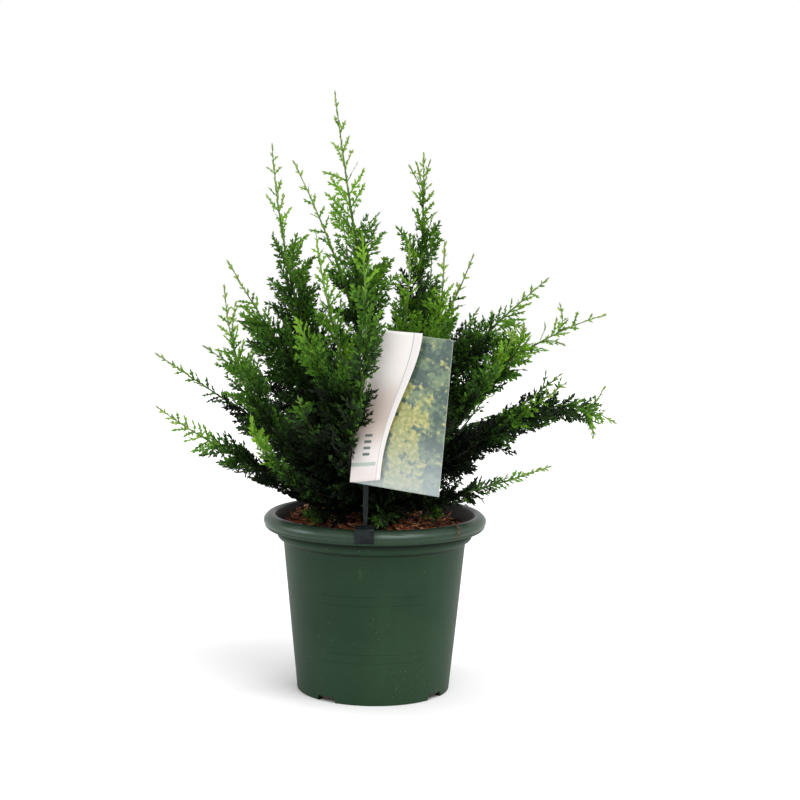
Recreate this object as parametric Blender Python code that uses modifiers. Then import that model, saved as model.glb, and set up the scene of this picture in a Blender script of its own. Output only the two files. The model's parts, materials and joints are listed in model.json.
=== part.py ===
# A dwarf hinoki cypress with several leaders, standing in its round nursery pot.
# Metres, +Z up. The origin is the middle of the pot's flat underside, and the
# clip of the plant label sits on the rim at -Y.

import math
import random

import bmesh
import bpy
from mathutils import Matrix, Vector
from mathutils.bvhtree import BVHTree
from mathutils.kdtree import KDTree

# Driving sizes of the pot
RIM_RADIUS = 0.095
POT_HEIGHT = 0.1522
BASE_RADIUS = 0.0652
WALL = 0.0018
WALL_TOP_RADIUS = 0.0778
COLLAR_BOTTOM = 0.1285
COLLAR_RADIUS = 0.0836
RIM_BOTTOM = 0.1392
RIM_INNER_RADIUS = 0.0850
POT_STEPS = 30

# Drain channels in the foot: each is a notch in the wall with a hole in its roof
NOTCH_COUNT = 4
NOTCH_FIRST_DEG = -126.0
NOTCH_WIDTH = 0.0170
NOTCH_HEIGHT = 0.0046
NOTCH_DEPTH = 0.0175
DRAIN_RADIUS = 0.0045

# Growing medium
SOIL_EDGE = 0.1420
SOIL_MIDDLE = 0.1450
SOIL_FLAT_RADIUS = 0.016

# Clearance between pieces that touch
GAP = 0.0003

# Trunk, from the flat cut on the soil to the place where the leader takes over
TRUNK_TOP = 0.300
TRUNK_LEAN = Vector((-0.004, 0.001))
TRUNK_RADIUS = 0.0062
TRUNK_TIP_RADIUS = 0.0021
ROOT_FLARE = 0.0042
FLARE_HEIGHT = 0.014

# Limbs
BOUGH_RADIUS = 0.0024
BOUGH_TIP_RADIUS = 0.0016
BARE_SHARE = 0.18
STEM_RADIUS = 0.0013
STEM_TIP_RADIUS = 0.0006
CORE_SHARE = 0.16
CORE_SIDES = 3
RING_SPACING = 0.038

# Fronds: flat fans of scale leaves, one for each lateral twig
FROND_SPACING = 0.0209
FROND_THICKNESS = 0.0017
FROND_ROOT_WIDTH = 0.0026
FROND_ROOT_DEPTH = 0.0024
SPIRAL_DEG = 137.5
SEED = 11

# Plant label: a folded card, and the holder that clips it to the rim
CARD_FOLD_FOOT = Vector((-0.0184, -0.0842, 0.1905))
CARD_WIDTH = 0.0770
CARD_HEIGHT = 0.1250
CARD_THICKNESS = 0.0008
CARD_YAW_DEG = -24.0
CARD_LEAN_DEG = 4.6
FLAP_OPEN_DEG = 5.0
FLAP_TOP_WIDTH = 0.052
FLAP_FOOT_WIDTH = 0.027
CLIP_WIDTH = 0.0158
CLIP_MIDDLE_X = -0.0073
CLIP_WALL = 0.0019
CLIP_DROP = 0.0122
STRIP_WIDTH = 0.0046
STRIP_THICKNESS = 0.0016
STRIP_TOP = 0.228

# Each shoot leaves the trunk at foot, bends by elbow and ends at tip, all in millimetres.
# spread is the half width of its foliage. bough says that a bare limb carries it, and
# sway is the sideways swing of a shoot that curves twice.
SHOOTS = {
    "leader": dict(foot=300, elbow=(-8, 0, 396), tip=(-38, -5, 507), spread=21),
    "left_leader": dict(foot=177, elbow=(-96, 24, 280), tip=(-92, 25, 464), spread=20, bough=True),
    "slim_leader": dict(foot=232, elbow=(-12, -24, 333), tip=(-72, -12, 449), spread=13),
    "front_leader": dict(foot=209, elbow=(-40, -77, 311), tip=(-51, -45, 393), spread=14, bough=True),
    "front_left_plume": dict(foot=168, elbow=(-30, -101, 266), tip=(-67, -70, 323), spread=19, bough=True),
    "left_upper": dict(foot=190, elbow=(-72, 7, 268), tip=(-128, 5, 365), spread=19, bough=True),
    "left_front_upper": dict(foot=162, elbow=(-133, -59, 217), tip=(-126, -35, 346), spread=16, bough=True),
    "left_back_wisp": dict(foot=200, elbow=(-100, 46, 254), tip=(-153, 45, 289), spread=12),
    "left_long": dict(foot=166, elbow=(-97, 18, 222), tip=(-191, 20, 284), spread=15, bough=True),
    "left_low": dict(foot=154, elbow=(-107, -22, 186), tip=(-187, -5, 241), spread=22, bough=True),
    "front_left_low": dict(foot=156, elbow=(-86, -92, 180), tip=(-101, -72, 243), spread=17, bough=True),
    "front_left_inner": dict(foot=186, elbow=(-45, -54, 193), tip=(-63, -72, 259), spread=14),
    "front_plume": dict(foot=160, elbow=(-18, -154, 200), tip=(-12, -98, 392), spread=17, bough=True,
                        sway=(-16, 0, 0)),
    "front_low": dict(foot=151, elbow=(12, -52, 182), tip=(3, -76, 151), spread=12),
    "front_inner": dict(foot=182, elbow=(30, -60, 230), tip=(42, -62, 300), spread=17),
    "right_leader": dict(foot=216, elbow=(41, 10, 251), tip=(37, 15, 458), spread=18, bough=True),
    "right_front_slim": dict(foot=222, elbow=(27, -43, 262), tip=(26, -30, 384), spread=13),
    "right_front_upper": dict(foot=192, elbow=(55, -28, 240), tip=(55, -25, 384), spread=15, bough=True),
    "right_slim": dict(foot=240, elbow=(50, -8, 288), tip=(80, -13, 374), spread=11),
    "right_back_wisp": dict(foot=206, elbow=(46, 34, 258), tip=(88, 45, 326), spread=13),
    "right_upper": dict(foot=201, elbow=(68, 0, 288), tip=(144, 0, 354), spread=20, bough=True),
    "right_front_mid": dict(foot=178, elbow=(86, -44, 234), tip=(117, -32, 318), spread=18),
    "right_long": dict(foot=184, elbow=(112, -20, 304), tip=(192, -12, 324), spread=16, bough=True),
    "right_low": dict(foot=166, elbow=(118, -8, 258), tip=(204, -5, 231), spread=18, bough=True),
    "right_back_low": dict(foot=174, elbow=(104, 23, 222), tip=(159, 18, 272), spread=17, bough=True),
    "right_lowest": dict(foot=153, elbow=(75, -33, 171), tip=(149, -14, 196), spread=14),
    "back_leader": dict(foot=224, elbow=(-15, 70, 270), tip=(-10, 62, 372), spread=19),
    "back_right_upper": dict(foot=212, elbow=(45, 75, 255), tip=(46, 74, 370), spread=19),
    "back_left_upper": dict(foot=210, elbow=(-60, 75, 250), tip=(-82, 72, 345), spread=19),
    "back_middle_upper": dict(foot=190, elbow=(5, 95, 240), tip=(14, 118, 318), spread=19),
    "back_left_low": dict(foot=172, elbow=(-75, 70, 195), tip=(-128, 98, 258), spread=20, bough=True),
    "back_middle_low": dict(foot=165, elbow=(-5, 100, 185), tip=(-18, 152, 262), spread=20, bough=True),
    "back_right_low": dict(foot=164, elbow=(75, 75, 195), tip=(108, 118, 262), spread=20, bough=True),
    "back_right_mid": dict(foot=192, elbow=(75, 50, 240), tip=(132, 72, 292), spread=18),
    "back_left_lowest": dict(foot=153, elbow=(-50, 50, 168), tip=(-96, 60, 196), spread=15),
}

COLOURS = {
    "pot": ((0.035, 0.085, 0.045), 0.42),
    "soil": ((0.10, 0.038, 0.016), 0.95),
    "bark": ((0.16, 0.085, 0.045), 0.85),
    "foliage": ((0.045, 0.15, 0.03), 0.55),
    "card": ((0.80, 0.76, 0.72), 0.35),
    "holder": ((0.035, 0.045, 0.05), 0.5),
}


def clear_scene():
    """Removes what the file opened with."""
    for obj in list(bpy.data.objects):
        bpy.data.objects.remove(obj)


def new_collection(name):
    made = bpy.data.collections.new(name)
    bpy.context.scene.collection.children.link(made)
    return made


def new_material(name):
    colour, roughness = COLOURS[name]
    made = bpy.data.materials.new(name)
    made.use_nodes = True
    shader = made.node_tree.nodes["Principled BSDF"]
    shader.inputs["Base Color"].default_value = (*colour, 1.0)
    shader.inputs["Roughness"].default_value = roughness
    shader.inputs["Metallic"].default_value = 0.0
    return made


def add_object(name, data, collection, material=None):
    obj = bpy.data.objects.new(name, data)
    collection.objects.link(obj)
    if material:
        data.materials.append(material)
    return obj


def box_object(name, size, centre, collection, turn=None):
    """A box from the cube primitive, with its size in its mesh."""
    mesh = bpy.data.meshes.new(name)
    shape = bmesh.new()
    bmesh.ops.create_cube(shape, size=1.0, matrix=Matrix.Diagonal((*size, 1.0)))
    shape.to_mesh(mesh)
    shape.free()
    obj = add_object(name, mesh, collection)
    obj.matrix_world = Matrix.Translation(centre) @ (turn or Matrix.Identity(4))
    return obj


def as_helper(obj):
    obj.hide_render = True
    obj.display_type = "WIRE"
    return obj


def boolean(obj, operation, collection, solver="EXACT"):
    """A Boolean of obj with everything in a collection."""
    modifier = obj.modifiers.new(operation.lower(), "BOOLEAN")
    modifier.operation = operation
    modifier.operand_type = "COLLECTION"
    modifier.collection = collection
    modifier.solver = solver
    return modifier


def turned(name, profile, steps, collection, material):
    """A solid of revolution from a profile that runs down its outer side."""
    mesh = bpy.data.meshes.new(name)
    points = [(radius, 0.0, height) for radius, height in profile]
    mesh.from_pydata(points, [(i, i + 1) for i in range(len(points) - 1)], [])
    obj = add_object(name, mesh, collection, material)
    screw = obj.modifiers.new("turn", "SCREW")
    screw.axis = "Z"
    screw.angle = math.tau
    screw.steps = steps
    screw.render_steps = steps
    screw.use_merge_vertices = True
    screw.merge_threshold = 0.00005
    screw.use_smooth_shade = True
    return obj


def applied(obj):
    """Makes the object's evaluated shape its own mesh."""
    bpy.context.view_layer.update()
    graph = bpy.context.evaluated_depsgraph_get()
    mesh = bpy.data.meshes.new_from_object(obj.evaluated_get(graph), depsgraph=graph)
    obj.modifiers.clear()
    obj.data = mesh
    return obj


# Pot and soil

def wall_radius(height):
    """Outer radius of the tapered wall at a height."""
    return BASE_RADIUS + (WALL_TOP_RADIUS - BASE_RADIUS) * height / COLLAR_BOTTOM


def pot_profile():
    """From the middle of the inner floor, up the inside, over the rim and down the outside."""
    inner_floor = WALL
    roll = 0.0062
    roll_middle = (RIM_RADIUS - roll, POT_HEIGHT - roll)
    inside = [
        (0.0, inner_floor),
        (wall_radius(0) - WALL - 0.002, inner_floor),
        (wall_radius(inner_floor) - WALL, inner_floor + 0.002),
        (WALL_TOP_RADIUS - WALL, COLLAR_BOTTOM),
        (COLLAR_RADIUS - WALL - 0.0012, RIM_BOTTOM),
        (RIM_INNER_RADIUS, POT_HEIGHT - 0.0014),
        (RIM_INNER_RADIUS + 0.0016, POT_HEIGHT - 0.0003),
    ]
    arc = [math.radians(a) for a in (95, 60, 25, -8)]
    rolled = [(roll_middle[0] + roll * math.cos(a), roll_middle[1] + roll * math.sin(a)) for a in arc]
    skirt = [
        (RIM_RADIUS - 0.0012, RIM_BOTTOM + 0.0042),
        (RIM_RADIUS - 0.0010, RIM_BOTTOM + 0.0026),
        (RIM_RADIUS - 0.0030, RIM_BOTTOM + 0.0003),
        (RIM_RADIUS - 0.0050, RIM_BOTTOM),
        (RIM_RADIUS - 0.0050, POT_HEIGHT - 0.0060),
        (RIM_INNER_RADIUS + 0.0016, POT_HEIGHT - 0.0026),
    ]
    outside = [
        (COLLAR_RADIUS, RIM_BOTTOM + 0.0006),
        (COLLAR_RADIUS - 0.0002, COLLAR_BOTTOM + 0.0050),
        (COLLAR_RADIUS - 0.0017, COLLAR_BOTTOM + 0.0020),
        (WALL_TOP_RADIUS + 0.0005, COLLAR_BOTTOM),
        (wall_radius(COLLAR_BOTTOM - 0.001), COLLAR_BOTTOM - 0.001),
        (wall_radius(0.002), 0.002),
        (wall_radius(0) - 0.0012, 0.0),
        (0.0, 0.0),
    ]
    return inside + rolled + skirt + outside


def around(angle):
    return Matrix.Rotation(angle, 4, "Z")


def make_pot(parts, cutters, roofs, material):
    """A tapered pot with a rolled rim, a collar and four drain channels in its foot."""
    pot = turned("pot", pot_profile(), POT_STEPS, parts, material)
    inner_end = BASE_RADIUS - NOTCH_DEPTH
    for i in range(NOTCH_COUNT):
        turn = around(math.radians(NOTCH_FIRST_DEG + i * 360 / NOTCH_COUNT))
        roof_length = NOTCH_DEPTH - 0.0013 + WALL
        roof_size = (roof_length, NOTCH_WIDTH + 2 * WALL, NOTCH_HEIGHT + WALL - 0.0006)
        roof_middle = turn @ Vector((inner_end - WALL + roof_length / 2, 0, 0.0006 + roof_size[2] / 2))
        as_helper(box_object(f"channel_roof_{i}", roof_size, roof_middle, roofs, turn))
        channel_size = (NOTCH_DEPTH + 0.01, NOTCH_WIDTH, NOTCH_HEIGHT + 0.004)
        channel_middle = turn @ Vector((inner_end + channel_size[0] / 2, 0, NOTCH_HEIGHT - channel_size[2] / 2))
        as_helper(box_object(f"channel_{i}", channel_size, channel_middle, cutters, turn))
        hole = bpy.data.meshes.new(f"drain_{i}")
        shape = bmesh.new()
        bmesh.ops.create_cone(shape, cap_ends=True, segments=12, radius1=DRAIN_RADIUS,
                              radius2=DRAIN_RADIUS, depth=0.02)
        shape.to_mesh(hole)
        shape.free()
        drain = as_helper(add_object(f"drain_{i}", hole, cutters))
        drain.location = turn @ Vector((inner_end + 0.008, 0, NOTCH_HEIGHT))
    boolean(pot, "UNION", roofs)
    boolean(pot, "DIFFERENCE", cutters)
    return applied(pot)


def make_soil(parts, material):
    """The growing medium, which fills the pot to just below its rim."""
    foot = NOTCH_HEIGHT + WALL + GAP
    clear = WALL + GAP
    profile = [
        (0.0, SOIL_MIDDLE),
        (SOIL_FLAT_RADIUS, SOIL_MIDDLE),
        (0.045, SOIL_MIDDLE - 0.0012),
        (0.070, SOIL_EDGE),
        (COLLAR_RADIUS - clear - 0.0016, RIM_BOTTOM - 0.0004),
        (WALL_TOP_RADIUS - clear, COLLAR_BOTTOM),
        (wall_radius(foot) - clear, foot),
        (0.0, foot),
    ]
    return applied(turned("soil", profile, POT_STEPS, parts, material))


# Paths of the limbs

def trunk_point(height):
    """Middle of the trunk at a height. It leans a little, more with height."""
    share = (height - SOIL_MIDDLE) / (TRUNK_TOP - SOIL_MIDDLE)
    return Vector((TRUNK_LEAN.x * share, TRUNK_LEAN.y * share, height))


def trunk_radius(height):
    """Taper of the trunk, with the root flare at its foot."""
    above = height - SOIL_MIDDLE
    share = above / (TRUNK_TOP - SOIL_MIDDLE)
    taper = TRUNK_RADIUS + (TRUNK_TIP_RADIUS - TRUNK_RADIUS) * share
    return taper + ROOT_FLARE * math.exp(-3.0 * above / FLARE_HEIGHT)


def bend(foot, elbow, tip, sway, t):
    """A limb's curve: a quadratic bend from foot to tip, with an optional double sway."""
    plain = foot * (1 - t) ** 2 + elbow * (2 * t * (1 - t)) + tip * t ** 2
    return plain + sway * math.sin(math.tau * t)


def millimetres(values):
    return Vector(values) * 0.001


def even_points(foot, elbow, tip, sway, count=120):
    """The curve's points at even steps of length, and its whole length."""
    rough = [bend(foot, elbow, tip, sway, i / count) for i in range(count + 1)]
    along = [0.0]
    for a, b in zip(rough, rough[1:]):
        along.append(along[-1] + (b - a).length)
    even, at = [], 0
    for i in range(count + 1):
        want = along[-1] * i / count
        while at < count - 1 and along[at + 1] < want:
            at += 1
        share = (want - along[at]) / max(along[at + 1] - along[at], 1e-9)
        even.append(rough[at].lerp(rough[at + 1], share))
    return even, along[-1]


class Path:
    """A limb's centre line, read by a share of its length from 0 to 1."""

    def __init__(self, points, length):
        self.points, self.length = points, length

    def at(self, share):
        place = min(max(share, 0.0), 1.0) * (len(self.points) - 1)
        i = min(int(place), len(self.points) - 2)
        return self.points[i].lerp(self.points[i + 1], place - i)

    def along(self, share):
        step = 0.01
        return (self.at(share + step) - self.at(share - step)).normalized()

    def part(self, start, end=1.0):
        count = 80
        shares = [start + (end - start) * i / count for i in range(count + 1)]
        return Path([self.at(s) for s in shares], self.length * (end - start))


def clear_start(path, radius, trunk_tree):
    """The share of the path where every point round a limb's end cap is GAP clear of the trunk."""
    for i in range(1, 2000):
        share = i / 4000
        place, way = path.at(share), path.along(share)
        across = way.orthogonal().normalized()
        for k in range(24):
            point = place + Matrix.Rotation(math.tau * k / 24, 3, way) @ across * radius
            middle = trunk_point(point.z)
            inside = math.hypot(point.x - middle.x, point.y - middle.y) < 0.94 * trunk_radius(point.z)
            if inside or trunk_tree.find_nearest(point)[3] < GAP:
                break
        else:
            return share
    return 0.5


def shoot_paths(trunk_tree):
    """For each shoot, the bare bough's path or None, and the path of its foliage stem."""
    boughs, stems = {}, {}
    for name, shoot in SHOOTS.items():
        sway = millimetres(shoot.get("sway", (0, 0, 0)))
        elbow, tip = millimetres(shoot["elbow"]), millimetres(shoot["tip"])
        foot = trunk_point(shoot["foot"] * 0.001)
        path = Path(*even_points(foot, elbow, tip, sway))
        if name == "leader":
            stems[name] = path.part(GAP / path.length)
        elif shoot.get("bough"):
            start = clear_start(path, BOUGH_RADIUS, trunk_tree)
            boughs[name] = path.part(start, BARE_SHARE)
            stems[name] = path.part(BARE_SHARE + GAP / path.length)
        else:
            stems[name] = path.part(clear_start(path, STEM_RADIUS, trunk_tree))
    return boughs, stems


# Limbs as tapering tubes

def tube(name, path, radius_at, rings, sides, collection, material):
    """A tapering tube along a path, closed by a flat cap square to the path at each end."""
    shape = bmesh.new()
    across = path.along(0).orthogonal().normalized()
    before = None
    for i in range(rings + 1):
        share = i / rings
        way = path.along(share)
        across = (across - way * across.dot(way)).normalized()
        upright = way.cross(across)
        radius = radius_at(share)
        ring = []
        for k in range(sides):
            angle = math.tau * k / sides
            offset = across * math.cos(angle) + upright * math.sin(angle)
            ring.append(shape.verts.new(path.at(share) + offset * radius))
        if before:
            for k in range(sides):
                after = (k + 1) % sides
                shape.faces.new((before[k], before[after], ring[after], ring[k]))
        else:
            shape.faces.new(ring[::-1])
        before = ring
    shape.faces.new(before)
    mesh = bpy.data.meshes.new(name)
    shape.to_mesh(mesh)
    shape.free()
    return add_object(name, mesh, collection, material)


def make_trunk(parts, material):
    """The whole trunk, from its flat cut on the soil, with its flare and its lean."""
    foot = SOIL_MIDDLE + GAP
    heights = [foot, foot + 0.005, foot + 0.012, 0.170, 0.20, 0.235, 0.27, TRUNK_TOP - GAP]
    points = [trunk_point(h) for h in heights]
    path = Path(points, TRUNK_TOP - foot)
    return tube("trunk", path, lambda s: trunk_radius(path.at(s).z), len(points) - 1, 10, parts, material)


def make_bough(name, path, parts, material):
    taper = BOUGH_TIP_RADIUS - BOUGH_RADIUS
    rings = max(3, round(path.length / 0.016))
    return tube("bough_" + name, path, lambda s: BOUGH_RADIUS + taper * s, rings, 6, parts, material)


def fullness(share):
    """How wide a plume is along its length: it swells soon, then tapers to its tip."""
    swell = min(1.0, share / 0.16) ** 0.7
    return swell * (1.0 - 0.80 * max(0.0, share - 0.16) / 0.84)


class Neighbours:
    """Says how far a place is from the limbs of every other shoot."""

    def __init__(self, boughs, stems):
        self.owners = []
        places = []
        for group in (boughs, stems):
            for name, path in group.items():
                for i in range(41):
                    places.append(path.at(i / 40))
                    self.owners.append(name)
        heights = [SOIL_MIDDLE + (TRUNK_TOP - SOIL_MIDDLE) * i / 40 for i in range(41)]
        for height in heights:
            places.append(trunk_point(height))
            self.owners.append("trunk")
        self.tree = KDTree(len(places))
        for i, place in enumerate(places):
            self.tree.insert(place, i)
        self.tree.balance()

    def distance(self, place, name):
        for _, i, away in self.tree.find_n(place, 140):
            if self.owners[i] != name:
                return away
        return 1.0


def core_radius(name, path, neighbours):
    """Radius of a plume's stem: a slim core where the foliage is dense, thin at both ends."""
    spread = SHOOTS[name]["spread"] * 0.001

    def radius(share):
        plain = STEM_RADIUS + (STEM_TIP_RADIUS - STEM_RADIUS) * share
        dense = math.sin(math.pi * min(1.0, share / 0.85)) ** 1.3
        core = CORE_SHARE * spread * dense * fullness(share)
        room = 0.40 * neighbours.distance(path.at(share), name)
        return max(plain, min(plain + core, room))

    return radius


# Fronds

def fan_outline(length, width, lobes):
    """Outline of a flat fan: pointed lobes that lean forward, with notches between, on a narrow root."""
    middle = 0.38 * length
    widest = math.radians(118)
    points = [(-FROND_ROOT_DEPTH, -FROND_ROOT_WIDTH / 2)]
    for i in range(2 * lobes - 1):
        angle = -widest + 2 * widest * i / (2 * lobes - 2)
        forward = math.cos(angle)
        ahead = (length - middle) * forward if forward > 0 else 0.55 * middle * forward
        inward = 0.50 if i % 2 else 1.0
        narrowing = 1 - 0.55 * max(0.0, forward)
        points.append((middle + ahead * inward, width * math.sin(angle) * narrowing * inward))
    points.append((-FROND_ROOT_DEPTH, FROND_ROOT_WIDTH / 2))
    return middle, points


def fan_mesh(length, width, lobes, thickness, place):
    """A toothed blade: the fan's outline with a raised middle on both faces. place is a matrix
    whose X runs out along the blade and whose Z is across its faces."""
    middle, outline = fan_outline(length, width, lobes)
    shape = bmesh.new()
    rim = [shape.verts.new(place @ Vector((u, v, 0))) for u, v in outline]
    top = shape.verts.new(place @ Vector((middle, 0, thickness / 2)))
    under = shape.verts.new(place @ Vector((middle, 0, -thickness / 2)))
    for i in range(len(rim)):
        after = rim[(i + 1) % len(rim)]
        shape.faces.new((rim[i], after, top))
        shape.faces.new((after, rim[i], under))
    return shape


def frond_frames(name, path, radius_at, rng):
    """Where the fronds of a plume stand: a spiral up its stem, shorter and steeper near the tip,
    each with its root sunk in the stem. Gives the length, width, lobes and frame of each."""
    spread = SHOOTS[name]["spread"] * 0.001
    count = max(6, round(path.length / FROND_SPACING))
    turn = rng.uniform(0, 360)
    for k in range(count):
        share = 0.03 + 0.95 * (k + 0.35 * rng.random()) / count
        turn += SPIRAL_DEG + rng.uniform(-18, 18)
        way = path.along(share)
        side = way.orthogonal().normalized()
        side = Matrix.Rotation(math.radians(turn), 3, way) @ side
        lean = math.radians(36 - 10 * share + rng.uniform(-5, 5))
        out = (way * math.cos(lean) + side * math.sin(lean)).normalized()
        reach = spread * fullness(share) / math.sin(lean) * rng.uniform(1.2, 1.6)
        sunk = max(0.0, 0.70 * radius_at(share) / math.sin(lean) - FROND_ROOT_DEPTH)
        length = max(reach - sunk, 0.009)
        across = Matrix.Rotation(math.radians(rng.uniform(-40, 40)), 3, out) @ side.cross(way).normalized()
        normal = out.cross(across).normalized()
        frame = Matrix((out, across, normal)).transposed().to_4x4()
        frame.translation = path.at(share) + out * sunk
        yield length, length * rng.uniform(0.38, 0.46), 5 if length > 0.026 else 3, frame
    tip_way = path.along(0.99)
    across = tip_way.orthogonal().normalized()
    frame = Matrix((tip_way, across, tip_way.cross(across))).transposed().to_4x4()
    frame.translation = path.at(0.97)
    yield path.length * 0.03 + 0.003, 0.003, 3, frame


def tree_of(obj):
    """A search tree of an object's faces, in world space."""
    shape = bmesh.new()
    shape.from_mesh(obj.data)
    shape.transform(obj.matrix_world)
    made = BVHTree.FromBMesh(shape)
    shape.free()
    return made


def make_mass(name, path, others, neighbours, parts, material, rng):
    """One plume: its stem and core, with every frond that keeps to the plume's own space."""
    rings = max(5, round(path.length / RING_SPACING))
    radius_at = core_radius(name, path, neighbours)
    stem = tube("foliage_" + name, path, radius_at, rings, CORE_SIDES, parts, material)
    own = tree_of(stem)
    touched = [owner for owner, other in others if owner != name and own.overlap(other)]
    if touched:
        print(f"the stem of {name} touches {touched}")
    fronds = new_collection("fronds_of_" + name)
    for length, width, lobes, frame in frond_frames(name, path, radius_at, rng):
        tested = fan_mesh(length + 2 * GAP, width + 3 * GAP, lobes, FROND_THICKNESS + 4 * GAP, frame)
        room = BVHTree.FromBMesh(tested)
        tested.free()
        if any(room.overlap(other) for owner, other in others if owner != name):
            continue
        mesh = bpy.data.meshes.new("frond")
        blade = fan_mesh(length, width, lobes, FROND_THICKNESS, frame)
        blade.to_mesh(mesh)
        blade.free()
        as_helper(add_object("frond", mesh, fronds))
    boolean(stem, "UNION", fronds, "MANIFOLD")
    applied(stem)
    simplify(stem)
    for frond in list(fronds.objects):
        bpy.data.objects.remove(frond)
    bpy.data.collections.remove(fronds)
    return stem


def simplify(obj):
    """Joins the flat slivers that a union leaves, and splits what is left into triangles."""
    shape = bmesh.new()
    shape.from_mesh(obj.data)
    bmesh.ops.dissolve_limit(shape, angle_limit=0.0005, verts=shape.verts, edges=shape.edges)
    bmesh.ops.triangulate(shape, faces=shape.faces)
    shape.to_mesh(obj.data)
    shape.free()


# Label and its holder

def card_frame():
    """The card's frame: X along its foot from the fold, Z up the fold, -Y its front."""
    yaw = Matrix.Rotation(math.radians(CARD_YAW_DEG), 4, "Z")
    lean = Matrix.Rotation(math.radians(CARD_LEAN_DEG), 4, "Y")
    return Matrix.Translation(CARD_FOLD_FOOT) @ yaw @ lean


def flat_plate(name, outline, collection, material=None):
    """A flat outline in the XZ plane, given CARD_THICKNESS towards -Y and +Y equally."""
    curve = bpy.data.curves.new(name, "CURVE")
    curve.dimensions = "2D"
    curve.fill_mode = "BOTH"
    curve.extrude = CARD_THICKNESS / 2
    spline = curve.splines.new("POLY")
    spline.points.add(len(outline) - 1)
    for point, (x, z) in zip(spline.points, outline):
        point.co = (x, z, 0, 1)
    spline.use_cyclic_u = True
    drawn = add_object(name + "_curve", curve, collection)
    bpy.context.view_layer.update()
    graph = bpy.context.evaluated_depsgraph_get()
    mesh = bpy.data.meshes.new_from_object(drawn.evaluated_get(graph), depsgraph=graph)
    shape = bmesh.new()
    shape.from_mesh(mesh)
    bmesh.ops.remove_doubles(shape, verts=shape.verts, dist=0.00001)
    shape.transform(Matrix.Rotation(math.radians(90), 4, "X"))
    bmesh.ops.recalc_face_normals(shape, faces=shape.faces)
    shape.to_mesh(mesh)
    shape.free()
    bpy.data.objects.remove(drawn)
    mesh.materials.clear()
    return add_object(name, mesh, collection, material)


def make_card(parts, folded, material):
    """The folded card: a back leaf, and a narrower front flap with a curved free edge."""
    back = flat_plate("label_card", [(0, 0), (CARD_WIDTH, 0), (CARD_WIDTH, CARD_HEIGHT), (0, CARD_HEIGHT)],
                      parts, material)
    back.matrix_world = card_frame()
    edge = []
    for i in range(9):
        rise = i / 8
        swing = (FLAP_TOP_WIDTH - FLAP_FOOT_WIDTH) * rise ** 1.6
        edge.append((FLAP_FOOT_WIDTH + swing, 0.004 + (CARD_HEIGHT - 0.002) * rise))
    flap = flat_plate("label_flap", [(0, 0), *edge, (0, CARD_HEIGHT)], folded)
    flap.matrix_world = card_frame() @ Matrix.Rotation(math.radians(-FLAP_OPEN_DEG), 4, "Z")
    as_helper(flap)
    boolean(back, "UNION", folded)
    return applied(back)


def make_holder(parts, joined, material):
    """The holder: a clip over the rim, and a strip that rises behind the card."""
    front = -RIM_RADIUS - GAP
    top = POT_HEIGHT + GAP
    inner_leg = -0.0790
    middle = CLIP_MIDDLE_X
    reach = inner_leg - front
    front_size = (CLIP_WIDTH, CLIP_WALL, CLIP_DROP + CLIP_WALL)
    front_middle = Vector((middle, front - CLIP_WALL / 2, top + CLIP_WALL - front_size[2] / 2))
    holder = box_object("label_holder", front_size, front_middle, parts)
    holder.data.materials.append(material)
    bridge_size = (CLIP_WIDTH, reach + 2 * CLIP_WALL, CLIP_WALL)
    bridge_middle = Vector((middle, (front + inner_leg) / 2, top + CLIP_WALL / 2))
    as_helper(box_object("clip_bridge", bridge_size, bridge_middle, joined))
    leg_size = (CLIP_WIDTH, CLIP_WALL, 0.0085)
    leg_middle = Vector((middle, inner_leg + CLIP_WALL / 2, top + CLIP_WALL - leg_size[2] / 2))
    as_helper(box_object("clip_leg", leg_size, leg_middle, joined))
    frame = card_frame()
    behind = CARD_THICKNESS / 2 + GAP + STRIP_THICKNESS / 2
    strip_x = (middle - CARD_FOLD_FOOT.x) / math.cos(math.radians(CARD_YAW_DEG))
    at_card = frame @ Vector((strip_x, behind, 0))
    bottom = top + CLIP_WALL / 2
    strip_size = (STRIP_WIDTH, STRIP_THICKNESS, STRIP_TOP - bottom)
    strip_middle = Vector((at_card.x, at_card.y, (STRIP_TOP + bottom) / 2))
    turn = Matrix.Rotation(math.radians(CARD_YAW_DEG), 4, "Z")
    as_helper(box_object("strip", strip_size, strip_middle, joined, turn))
    boolean(holder, "UNION", joined)
    return applied(holder)


def main():
    clear_scene()
    parts = new_collection("dwarf_hinoki_cypress")
    cutters = new_collection("cutters")
    roofs = new_collection("channel_roofs")
    folded = new_collection("card_flap")
    joined = new_collection("holder_pieces")
    looks = {name: new_material(name) for name in COLOURS}
    rng = random.Random(SEED)

    pot = make_pot(parts, cutters, roofs, looks["pot"])
    soil = make_soil(parts, looks["soil"])
    trunk = make_trunk(parts, looks["bark"])
    card = make_card(parts, folded, looks["card"])
    holder = make_holder(parts, joined, looks["holder"])
    others = [("fixed", tree_of(obj)) for obj in (pot, soil, trunk, card, holder)]

    bough_paths, stem_paths = shoot_paths(tree_of(trunk))
    neighbours = Neighbours(bough_paths, stem_paths)
    for name, path in bough_paths.items():
        bough = make_bough(name, path, parts, looks["bark"])
        others.append(("bough_" + name, tree_of(bough)))
    for name, path in stem_paths.items():
        rings = max(5, round(path.length / RING_SPACING))
        sketch = tube("sketch", path, core_radius(name, path, neighbours), rings, CORE_SIDES, parts, None)
        others.append((name, tree_of(sketch)))
        bpy.data.objects.remove(sketch)
    for name, path in stem_paths.items():
        mass = make_mass(name, path, others, neighbours, parts, looks["foliage"], rng)
        others.append((name, tree_of(mass)))


main()
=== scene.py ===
import json
import math

import bpy
import numpy as np
from mathutils import Matrix, Vector

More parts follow.
